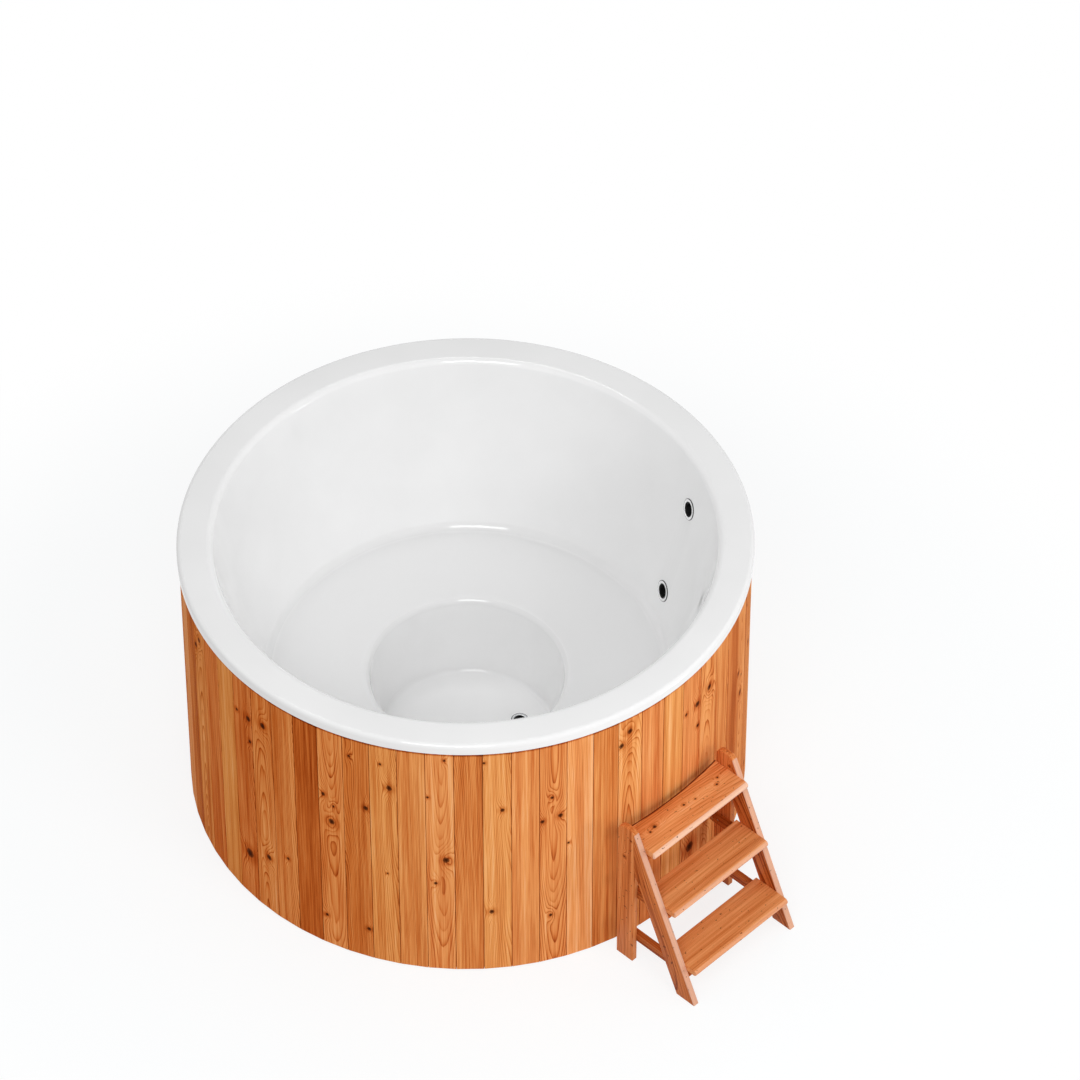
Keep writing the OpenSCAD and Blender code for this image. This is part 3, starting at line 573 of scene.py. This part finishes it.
# %% [markdown]
# ## The ring of side boards
#
# Sixty-four upright boards, joined by tongue and groove, make the round wall.
# They stay as they were packed: their shape is right. What they need is that
# no board looks like its neighbour, and that the grain stops at each joint.
# So the material works out which board a point belongs to from its angle about
# the axis, and where it is on that board. A colour ramp with hard steps then
# serves as a small table of boards: their tone, the way the log's heart lies
# to them, and their knots.

# %% Eighteen kinds of board, named by their look
tones = {  # shade on the wood's scale, and turn of the hue
    "deep": (0.56, -0.001),
    "brown": (0.62, 0.001),
    "reddish": (0.69, -0.003),
    "plain": (0.73, -0.001),
    "orange": (0.76, 0.001),
    "golden": (0.78, 0.003),
    "light": (0.85, -0.002),
}
hearts = {"arched": 0.004, "leaning": 0.058, "straight": 0.09, "far": 0.14}  # metres to the side
boards = [  # tone, heart and knots: millimetres across, up from the floor and in radius
    ("golden", "leaning", [(16, 733, 6), (-19, 271, 7), (-39, 950, 4)]),
    ("plain", "far", []),
    ("plain", "arched", [(-35, 653, 6), (23, 663, 7), (-4, 752, 5), (-8, 214, 5)]),
    ("light", "straight", [(-38, 529, 4)]),
    ("brown", "far", []),
    ("orange", "arched", [(-2, 925, 8), (-33, 877, 8)]),
    ("reddish", "straight", []),
    ("golden", "far", []),
    ("reddish", "leaning", [(27, 832, 9), (31, 733, 6), (4, 198, 15), (-29, 830, 5)]),
    ("plain", "arched", [(5, 851, 9), (9, 253, 9)]),
    ("plain", "leaning", [(4, 307, 5)]),
    ("deep", "far", []),
    ("plain", "arched", [(0, 580, 9), (-27, 693, 6), (8, 653, 4), (-27, 135, 5)]),
    ("brown", "leaning", [(30, 693, 7), (-21, 907, 4), (30, 135, 6)]),
    ("golden", "leaning", [(-8, 907, 4), (19, 808, 8), (8, 416, 3)]),
    ("orange", "far", []),
    ("plain", "arched", [(17, 511, 9), (-16, 402, 5), (16, 960, 4), (-37, 792, 4)]),
    ("brown", "straight", []),
]
most_knots = max(len(knots) for _, _, knots in boards)
no_knot = (0, 0, 0.1)  # too small to be seen
print(f"{len(boards)} kinds of board with {sum(len(b[2]) for b in boards)} knots")


# %% Which board, and where on it
def about_axis(g, x, y, start, count):
    """Which member of a ring a point belongs to, its angle from that one's middle and its radius."""
    share = g.over(g.minus(g.calc("ARCTAN2", y, x), start), math.tau / count)
    number = g.calc("FLOOR", share)
    off = g.times(g.minus(g.calc("FRACT", share), 0.5), math.tau / count)
    return number, off, g.length(g.join(x, y, 0))


board_count, board_face_r = 64, 0.8925
first_joint = math.radians(-86.3)
board_wood, g, shader = new_material("board_wood")
x, y, z = g.split(g.place())
number, off, from_axis = about_axis(g, x, y, first_joint, board_count)
across = g.times(from_axis, g.calc("SINE", off))
depth = g.minus(board_face_r, g.times(from_axis, g.calc("COSINE", off)))
kind = g.over(g.plus(g.calc("FLOORED_MODULO", number, len(boards)), 0.5), len(boards))
print(f"each board covers {1000 * board_face_r * math.tau / board_count:.1f} mm of the wall")


# %% A table of boards, kept in colour ramps
def table(g, index, rows, spans):
    """A ramp with hard steps that looks up three numbers for each row."""
    ramp = g.add("ValToRGB", index)
    ramp.color_ramp.interpolation = "CONSTANT"
    elements = ramp.color_ramp.elements
    while len(elements) < len(rows):
        elements.new(1.0)
    for i, (element, row) in enumerate(zip(elements, rows)):
        element.position = i / len(rows)
        element.color = (*[(v - low) / (high - low) for v, (low, high) in zip(row, spans)], 1)
    found = g.add("SeparateColor", ramp.outputs[0]).outputs
    return [g.span(out, 0, 1, *span) for out, span in zip(found, spans)]


looks = []
for i, (look, lies, _) in enumerate(boards):
    left_or_right = (-1) ** i
    looks.append((tones[look][0], hearts[lies] * left_or_right, tones[look][1]))
tone, heart, hue = table(g, kind, looks, [(0, 1), (-0.2, 0.2), (-0.01, 0.01)])
knot_growth = 1.15  # knots are drawn a little larger than listed, because their rims fade out
knots = []
for n in range(most_knots):
    picked = [(found + [no_knot] * most_knots)[n] for _, _, found in boards]
    rows = [(x_mm / 1000, z_mm / 1000, knot_growth * r_mm / 1000) for x_mm, z_mm, r_mm in picked]
    knots.append(table(g, kind, rows, [(-0.05, 0.05), (0, 1.1), (0, 0.03)]))
print(f"{1 + len(knots)} ramps of {len(boards)} steps")

# %% Grain of the side boards
seed = g.times(number, 7.31)
tone = g.plus(tone, g.span(g.noise(g.join(seed, z, 2.2), 1.2, 1.0), 0.3, 0.7, -0.05, 0.05))
upward = g.span(g.calc("FLOORED_MODULO", number, 2), 0, 1, -0.045, 0.045)
shade, knot_mask, relief = sawn_wood(g, across, z, depth, seed, tone, pith=heart, taper=upward, knots=knots)

# Dirt gathers in the joints, and a painted shadow darkens the boards' top ends under the lip.
joint = g.span(g.calc("ABSOLUTE", across), 0.0424, 0.0436, 0, 0.5, smooth=True)
shade = g.minus(shade, joint)
shade = g.minus(shade, g.span(z, 0.976, 0.987, 0, 0.4, smooth=True))

# Painted shade: the side away from the key lamp is painted darker and redder.
painted_shade_side = g.span(x, -0.85, 0.1, 1, 0, smooth=True)
hue = g.minus(hue, g.times(painted_shade_side, 0.003))
rich = g.span(painted_shade_side, 0, 1, 1.0, 1.035)
shade = g.minus(shade, g.times(painted_shade_side, 0.06))
finish_wood(g, shader, shade, knot_mask, relief, oiled_tones, hue=hue, rich=rich)
dress(board_wood, "side_boards")
print(f"the board material has {len(board_wood.node_tree.nodes)} nodes")

# %% [markdown]
# ## The steps
#
# The steps stand by themselves, turned to the tub's side: two side frames,
# each an upright leg and a leaning stringer, and three treads between them.
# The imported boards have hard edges, and real planed boards never do: a
# carpenter takes the edge off, and that thin round edge is what catches the
# light. So the boards that show are made again in the same places, with eased
# edges.

# %% The steps' own axes
steps_turn, steps_shift = math.radians(44.3), 0.020
to_scene = Matrix.Rotation(-steps_turn, 4, "Z") @ Matrix.Translation((0, -steps_shift, 0))
to_steps = to_scene.inverted()


def steps_box(name):
    """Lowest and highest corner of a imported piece, in the steps' own axes."""
    places = [to_steps @ v.co for v in nodes[name].data.vertices]
    return [Vector(pick(p[i] for p in places) for i in range(3)) for pick in (min, max)]


leg_low, leg_high = steps_box("left_leg")
leg_back, leg_front, frame_top = leg_low.x, leg_high.x, leg_high.z
front_foot = steps_box("left_stringer")[1].x
stringer_lean, stringer_width = math.radians(24.47), 0.068
print(f"legs {1000 * (leg_front - leg_back):.1f} mm wide and {1000 * frame_top:.0f} mm tall")


# %% Side frames: one rounded outline, cut into leg and stringer
def ease(bm, offset, least=30):
    """Rounds every edge between faces that meet at more than a few degrees."""
    edges = [e for e in bm.edges if len(e.link_faces) == 2 and e.calc_face_angle() > math.radians(least)]
    bmesh.ops.bevel(bm, geom=edges, offset=offset, segments=3, profile=0.5,
                    affect="EDGES", material=-1, clamp_overlap=True)


def frame_outline(bm, y):
    """The outline of leg and stringer together, seen from the side, with its two tops rounded."""
    top_front = front_foot - frame_top * math.tan(stringer_lean)
    outline = [(leg_back, 0), (leg_back, frame_top), (top_front, frame_top), (front_foot, 0)]
    verts = [bm.verts.new((x, y, z)) for x, z in outline]
    bm.faces.new(verts)
    round_corner(bm, verts[1], 0.028, math.pi / 2, 8)
    round_corner(bm, verts[2], 0.025, math.pi / 2 - stringer_lean, 8)


def frame_board(name, cuts):
    """Cuts a board from the side frame's outline. Each cut is a point and the side to clear."""
    low, high = steps_box(name)
    bm = bmesh.new()
    frame_outline(bm, low.y)
    made = bmesh.ops.extrude_face_region(bm, geom=bm.faces[:])
    new_verts = [v for v in made["geom"] if isinstance(v, bmesh.types.BMVert)]
    bmesh.ops.translate(bm, verts=new_verts, vec=(0, high.y - low.y, 0))
    for point, away in cuts:
        found = bmesh.ops.bisect_plane(bm, geom=bm.verts[:] + bm.edges[:] + bm.faces[:], dist=1e-6,
                                       plane_co=point, plane_no=away, clear_outer=True)["geom_cut"]
        cut_edges = [e for e in found if isinstance(e, bmesh.types.BMEdge)]
        bmesh.ops.holes_fill(bm, edges=cut_edges, sides=0)
    bmesh.ops.recalc_face_normals(bm, faces=bm.faces)
    ease(bm, 0.0035)
    bm.transform(to_scene)
    return piece(name + "_board", bm, "steps", [name])


stringer_back = front_foot - stringer_width / math.cos(stringer_lean)
backward = (-math.cos(stringer_lean), 0, -math.sin(stringer_lean))
frame_boards = []
for side in ("left", "right"):
    leg, stringer = side + "_leg", side + "_stringer"
    behind_leg = (steps_box(stringer)[0].x, 0, 0)
    frame_boards += [
        frame_board(leg, [((leg_front, 0, 0), (1, 0, 0))]),
        frame_board(stringer, [
            (behind_leg, (-1, 0, 0)),
            ((stringer_back, 0, 0), backward)]),
    ]
print(f"{len(frame_boards)} frame boards of {sum(len(b.data.polygons) for b in frame_boards)} faces")


# %% Treads: a board with a bullnose, and a hollow back edge for the top one
def long_edges(bm, wanted):
    """Edges that run from side to side of a tread, with both ends at a wanted x."""
    return [e for e in bm.edges if all(wanted(v.co.x) for v in e.verts)
            and abs((e.verts[0].co - e.verts[1].co).y) > 0.1]


def tread_board(name, hollow=0.0):
    """A tread with its front edge rounded over its whole thickness."""
    low, high = steps_box(name)
    size, middle = high - low, (high + low) / 2
    bm = bmesh.new()
    bmesh.ops.create_cube(bm, size=1, matrix=Matrix.Translation(middle) @ Matrix.Diagonal((*size, 1)))
    front = long_edges(bm, lambda x: x > middle.x)
    bmesh.ops.bevel(bm, geom=front, offset=size.z / 2 - 0.0002, segments=8, profile=0.5,
                    affect="EDGES", material=-1)
    if hollow:
        back = long_edges(bm, lambda x: x < middle.x)
        bmesh.ops.subdivide_edges(bm, edges=back, cuts=24)
        for vert in bm.verts:
            if vert.co.x < low.x + 1e-5:
                vert.co.x += hollow * (1 - ((vert.co.y - middle.y) / (size.y / 2)) ** 2)
    ease(bm, 0.0018, least=40)
    bm.transform(to_scene)
    return piece(name + "_board", bm, "steps", [name])


tread_hollow = 0.0145
tread_boards = [
    tread_board("top_tread", hollow=tread_hollow),
    tread_board("middle_tread"),
    tread_board("bottom_tread"),
]
print(f"{len(tread_boards)} treads of {sum(len(b.data.polygons) for b in tread_boards)} faces")

# %% [markdown]
# Each of the steps' boards has its own place in a log. Their grain is worked
# out in the steps' own axes, so that it runs along each board, whichever way
# the steps stand.

# %% A recipe for the wood of the steps
nowhere = 9.0  # metres away, where no board reaches


def steps_wood(name, axes, seed, tone, knots=(), pith=0.0, lean=0.0, front=nowhere, wear_and_highlight=0.45,
               crown=nowhere, back=None, mirror=0.05, **more):
    """Wood for a board of the steps. Axes say which of its x, y and z run across, along and in.

    Past the front and above the crown, the board's round edge gets a painted highlight.
    A painted shadow darkens the board along its back, given as its place, its hollow and half its length.
    """
    material, g, shader = new_material(name)
    turn = g.add("Mapping", g.place(), (0, steps_shift, 0), (0, 0, steps_turn))
    place = turn.outputs[0]
    high = g.split(place)[2]
    if lean:
        place = g.add("Mapping", place, (0, 0, 0), (0, lean, 0)).outputs[0]
    local = dict(zip("xyz", g.split(place)))
    across, along, inward = (local[a] for a in axes)
    shade, knot_mask, relief = sawn_wood(g, across, along, inward, seed, tone, pith=pith,
                                         knots=knots, **more)
    # Painted highlight: the round edges past the front and above the crown are painted pale.
    painted_highlight = g.calc("MAXIMUM", g.span(across, front, front + 0.003, 0, wear_and_highlight),
                  g.span(high, crown, crown + 0.004, 0, wear_and_highlight))
    # Painted shadow: a dark band along the hollow back edge, where the tread meets the boards.
    if back:
        start, hollow, half = back
        bow = g.calc("POWER", g.over(along, half), 2.0)
        from_back = g.minus(across, g.minus(start + hollow, g.times(bow, hollow)))
        shade = g.minus(shade, g.span(from_back, 0.003, 0.007, 0.75, 0, smooth=True))

    # Small dark pits, where the surface has been knocked and trodden.
    pit_place = g.shifted(g.join(across, g.times(along, 0.6), inward), (seed, 0, 0))
    pits = g.noise(pit_place, 120.0, 1.0)
    knot_mask = g.calc("MAXIMUM", knot_mask, g.span(pits, 0.70, 0.75, 0, 0.7))
    finish_wood(g, shader, shade, knot_mask, relief, planed_tones, gloss=0.34, mirror=mirror, painted_highlight=painted_highlight)
    return material


fine = {"ring": 0.0026, "contrast": 0.6, "wander": 0.004, "taper": 0.02, "middle": 0.0}
bold = {**fine, "contrast": 0.4}
print(f"the steps' wood has a ring every {1000 * fine['ring']:.1f} mm")

# %% Wood of the frames
leg_knots = [(0.930, 0.46, 0.004), (0.958, 0.55, 0.003)]
dress(steps_wood("leg_wood", "xzy", 3.1, 0.62, leg_knots, pith=0.84, **fine),
      "left_leg_board", "right_leg_board", "left_leg", "right_leg")
front_face = front_foot * math.cos(stringer_lean)
dress(steps_wood("stringer_wood", "xzy", 11.7, 0.50, pith=1.06, lean=stringer_lean,
                 front=front_face - 0.004, crown=frame_top - 0.006, **fine),
      "left_stringer_board", "right_stringer_board", "left_stringer", "right_stringer")
dress(steps_wood("bearer_wood", "zxy", 57.7, 0.41, pith=0.5, **fine),
      "top_bearers", "middle_bearers", "bottom_bearers")
print(f"the stringers lean by {math.degrees(stringer_lean):.1f} degrees, and so does their grain")

# %% Wood of the treads
top_knots = [(0.974, 0.138, 0.004), (0.956, 0.160, 0.003), (0.968, 0.047, 0.003),
             (0.960, 0.004, 0.004), (0.958, -0.125, 0.006), (0.964, -0.150, 0.004)]
nose = {name: steps_box(name)[1].x - 0.009 for name in ("top_tread", "middle_tread", "bottom_tread")}
back, end = steps_box("top_tread")
top_back = (back.x, tread_hollow, (end.y - back.y) / 2)
dress(steps_wood("top_tread_wood", "xyz", 21.3, 0.67, top_knots, pith=1.12,
                 front=nose["top_tread"] - 0.003, wear_and_highlight=0.62, mirror=0.16, back=top_back, **bold),
      "top_tread_board", "top_tread")
dress(steps_wood("middle_tread_wood", "xyz", 31.9, 0.67, pith=1.40,
                 front=nose["middle_tread"], wear_and_highlight=0.33, mirror=0.16, **bold),
      "middle_tread_board", "middle_tread")
dress(steps_wood("bottom_tread_wood", "xyz", 43.4, 0.67, pith=1.45,
                 front=nose["bottom_tread"], wear_and_highlight=0.16, mirror=0.16, **bold),
      "bottom_tread_board", "bottom_tread")
print(f"the top tread is {1000 * (end.x - back.x):.0f} mm deep and {1000 * (end.y - back.y):.0f} mm long")

# %% [markdown]
# ## Inlets and drain
#
# Two inlets join the tub to a heater outside, and the drain sits in the floor.
# Each is a turned steel sleeve with a flat flange. Two things make them look
# real from far away: fine rings left by the lathe, and the thin dark line
# round the flange, partly sealant and partly painted shadow. Both depend only
# on the distance from the fitting's own axis, so the material works that out
# from the axis of each fitting. The same distance paints the deep bore dark,
# which is painted shade.


# %% Turned steel with a line of sealant and painted shadow
def from_axis_of(g, places):
    """Distance of a point from the nearest of some axes, each the z axis of a place matrix."""
    point, nearest = g.place(), nowhere
    for place in places:
        away = g.add("VectorMath", point, tuple(place.translation), operation="SUBTRACT").outputs[0]
        axis = tuple(place.col[2].xyz)
        crossed = g.add("VectorMath", away, axis, operation="CROSS_PRODUCT").outputs[0]
        nearest = g.calc("MINIMUM", nearest, g.length(crossed))
    return nearest


def turned_steel(name, places, flange, bore, dark, light):
    """Lathe-turned steel, with sealant and painted shadow round the flange and painted shade in the bore."""
    material, g, shader = new_material(name)
    radius = from_axis_of(g, places)
    turning = g.noise(g.join(radius, 0, 0), 2400.0, 2.0)
    smear = g.noise(g.place(), 60.0, 2.0)
    steel = g.blend(g.span(turning, 0.3, 0.7), linear(dark), linear(light))
    # Painted shade: the bore is painted nearly black.
    steel = g.blend(g.span(radius, bore + 0.0002, bore + 0.0006, 1, 0), steel, linear("1E1F20"))
    # Partly sealant, partly painted shadow: a dark line round the flange.
    sealant_and_shadow = g.span(radius, flange - 0.0022, flange - 0.0014, 0, 1, smooth=True)
    g.fill(shader.inputs["Base Color"], g.blend(sealant_and_shadow, steel, linear("2A2C2E")))
    g.fill(shader.inputs["Metallic"], g.span(sealant_and_shadow, 0, 1, 1, 0))
    g.fill(shader.inputs["Roughness"], g.span(smear, 0.3, 0.7, 0.16, 0.3))
    bump = g.add("Bump", Strength=0.15, Distance=0.0002, Height=turning)
    g.fill(shader.inputs["Normal"], bump.outputs[0])
    return material


dress(turned_steel("inlet_steel", inlets, flange=0.035, bore=0.0243, dark="E9EAEB", light="FCFCFC"),
      "upper_inlet_sleeve", "lower_inlet_sleeve")
dress(turned_steel("drain_steel", [drain], flange=0.028, bore=0.0183, dark="C2C4C6", light="D8DADB"),
      "drain_sleeve")
print("three steel fittings")

# %% [markdown]
# Plastic and rubber parts sit behind the boards and under the floor. They are
# moulded or extruded: moulded parts have a fine, even tooth from the mould,
# and extruded pipe has faint lines along its length. One small recipe serves
# them all, with a colour, a gloss and the size of the pattern.


# %% Moulded plastics, pipe and rubber
def moulded(name, dark, light, rough, grain, stretch=(1, 1, 1), lift=0.0002):
    """A material for plastic or rubber: two near colours, a tooth and patches of wear."""
    material, g, shader = new_material(name)
    place = g.stretched(g.place(), *stretch)
    tooth = g.noise(place, grain, 2.0)
    wear_and_highlight = g.noise(place, grain / 40, 3.0)
    colour = g.blend(g.span(wear_and_highlight, 0.35, 0.7), linear(dark), linear(light))
    dust = g.span(tooth, 0.62, 0.8, 0, 0.25)
    g.fill(shader.inputs["Base Color"], g.blend(dust, colour, linear("8C8A86")))
    g.fill(shader.inputs["Roughness"], g.span(wear_and_highlight, 0.3, 0.7, rough - 0.06, rough + 0.06))
    bump = g.add("Bump", Strength=0.3, Distance=lift, Height=tooth)
    g.fill(shader.inputs["Normal"], bump.outputs[0])
    return material


dress(moulded("inlet_rubber", "0E0E0E", "1C1C1B", rough=0.75, grain=900.0),
      "upper_inlet_gasket", "lower_inlet_gasket", "drain_gasket")
dress(moulded("nut_plastic", "121314", "222426", rough=0.45, grain=1400.0),
      "upper_inlet_nut", "lower_inlet_nut", "drain_nut")
dress(moulded("hose_plastic", "060606", "0E0E0F", rough=0.5, grain=700.0, stretch=(0.1, 0.1, 1)),
      "upper_hose_pipe", "lower_hose_pipe")
# Painted shade: the drain's elbow and pipe are nearly black, for the dark inside of the drain hole.
dress(moulded("drain_pvc", "24262A", "34373B", rough=0.4, grain=800.0, stretch=(0.2, 0.2, 1)),
      "drain_elbow", "drain_pipe")
dress(moulded("valve_plastic", "26282B", "3A3D41", rough=0.42, grain=1200.0),
      "valve_barrel", "valve_inner_cap", "valve_outer_cap")
dress(moulded("seat_plastic", "DCDAD4", "F0EFEB", rough=0.35, grain=600.0), "valve_seats")
dress(moulded("grip_plastic", "9C1A16", "BE2A22", rough=0.32, grain=500.0, lift=0.0003), "lever_grip")
print("seven plastics")

# %% [markdown]
# The valve's ball and stem are plated and polished, its lever is pressed from
# zinc-plated sheet, and the screws are plain stainless. All are metal, but
# they differ in how their surface was finished: a drawn direction for sheet
# and wire, soft round smears for plating.


# %% Plated and drawn metal
def metal(name, dark, light, rough, grain, stretch=(1, 1, 1), strength=0.1):
    """A material for plated, pressed or drawn metal."""
    material, g, shader = new_material(name)
    place = g.stretched(g.place(), *stretch)
    drawn = g.noise(place, grain, 3.0, 0.6)
    smear = g.noise(g.place(), grain / 12, 2.0)
    g.fill(shader.inputs["Base Color"], g.blend(g.span(drawn, 0.3, 0.7), linear(dark), linear(light)))
    shader.inputs["Metallic"].default_value = 1
    g.fill(shader.inputs["Roughness"], g.span(smear, 0.3, 0.7, rough, rough + 0.12))
    bump = g.add("Bump", Strength=strength, Distance=0.0002, Height=drawn)
    g.fill(shader.inputs["Normal"], bump.outputs[0])
    return material


dress(metal("valve_chrome", "C9CBCD", "E8E9EA", rough=0.08, grain=500.0), "valve_ball", "valve_stem")
dress(metal("lever_zinc", "9EA2A3", "C6C9C8", rough=0.28, grain=1500.0, stretch=(1, 1, 0.06), strength=0.25),
      "valve_lever", "lever_nut")
dress(metal("screw_steel", "A8A8A4", "CDCCC8", rough=0.22, grain=2200.0, stretch=(1, 1, 0.1), strength=0.2),
      "bearer_screws", "tread_screws")
print("three metals")

# %% [markdown]
# ## The frame inside
#
# Behind the boards stands a frame that nobody sees once the tub is full: three
# rings of sawn segments, upright posts, joists under the bench, and a plywood
# deck on treated beams. It is rough carpentry, so its wood is pale, unoiled and
# hairy from the saw. Each member again needs its own axes. For the rings, posts
# and joists these come from the angle about the tub's axis, as for the boards.


# %% A recipe for rough timber
def timber(name, axes_of, stops, **more):
    """Rough-sawn wood. axes_of gives the places across, along and in, and a seed."""
    material, g, shader = new_material(name)
    x, y, z = g.split(g.place())
    across, along, inward, seed = axes_of(g, x, y, z)
    shade, knot_mask, relief = sawn_wood(g, across, along, inward, seed, 0.72, **more)
    saw_marks = g.noise(g.stretched(g.join(along, across, inward), 1, 0.05, 0.05), 260.0, 1.0)
    relief = g.plus(relief, g.times(saw_marks, 0.5))
    finish_wood(g, shader, shade, knot_mask, relief, stops, knot_colour="5A3416", gloss=0.7,
                mirror=0.1, depth=0.001)
    return material


sawn_pine = [(0.0, "8A5A2C"), (0.35, "B98648"), (0.6, "D3A768"), (0.8, "E2BD84"), (1.0, "F0D4A4")]
treated_pine = [(0.0, "4E4A26"), (0.35, "7A7440"), (0.6, "989058"), (0.8, "AEA46C"), (1.0, "C4BA86")]
print(f"sawn and treated pine have {len(sawn_pine)} tones each")


# %% Each member's own axes
post_count, joist_count = 16, 8
half_post, beam_turn, beam_pitch = math.pi / 16, math.radians(66), 0.25


def ring_axes(g, x, y, z):
    number, off, radius = about_axis(g, x, y, inlet_turn + half_post, post_count)
    return radius, g.times(off, radius), z, g.times(number, 3.7)


def post_axes(g, x, y, z):
    number, off, radius = about_axis(g, x, y, inlet_turn, post_count)
    return g.times(off, radius), z, radius, g.times(number, 5.3)


def joist_axes(g, x, y, z):
    number, off, radius = about_axis(g, x, y, inlet_turn - half_post, joist_count)
    return g.times(off, radius), radius, z, g.times(number, 4.1)


def beam_axes(g, x, y, z):
    along = g.plus(g.times(x, math.cos(beam_turn)), g.times(y, math.sin(beam_turn)))
    side = g.minus(g.times(y, math.cos(beam_turn)), g.times(x, math.sin(beam_turn)))
    number = g.calc("ROUND", g.over(side, beam_pitch))
    return z, along, side, g.times(number, 6.3)


dress(timber("ring_timber", ring_axes, sawn_pine, pith=0.78, middle=0.0, taper=0.02),
      "upper_ring", "middle_ring", "lower_ring")
dress(timber("post_timber", post_axes, sawn_pine, pith=0.03), "posts", "bench_legs")
dress(timber("joist_timber", joist_axes, sawn_pine, pith=0.02), "bench_joists")
dress(timber("beam_timber", beam_axes, treated_pine, pith=0.01, middle=0.0), "floor_beams")
print("three pines and treated beams")

# %% [markdown]
# Plywood shows two things: a peeled face, whose rings are cut so flat that
# they spread into wide wandering flames, and an edge of thin plies that run
# crosswise in turn.

# %% Plywood deck
ply = 0.0028
deck_ply, g, shader = new_material("deck_ply")
x, y, z = g.split(g.place())
flame = g.noise(g.join(g.times(x, 6), g.times(y, 0.9), 0), 1.0, 2.0)
rings = g.calc("PINGPONG", g.times(flame, 14), 1)
fibre = g.noise(g.join(g.times(x, 40), y, z), 16.0, 3.0, 0.6)
face = g.plus(g.span(rings, 0, 1, 0.4, 0.62), g.span(fibre, 0.3, 0.7, -0.12, 0.12))
plies = g.calc("PINGPONG", g.over(z, ply), 1)
faces_up = g.split(g.add("NewGeometry").outputs["Normal"])[2]
edge = g.span(g.calc("ABSOLUTE", faces_up), 0.5, 0.7, 1, 0)
shade = g.plus(face, g.times(edge, g.span(plies, 0.3, 0.7, -0.22, 0.1)))
finish_wood(g, shader, shade, 0.0, fibre, sawn_pine, gloss=0.6, mirror=0.2, depth=0.0004)
dress(deck_ply, "base_deck")
undressed = [name for name, node in nodes.items() if not node.data.materials]
print(f"{len(nodes) - len(undressed)} of {len(nodes)} packed pieces are dressed")
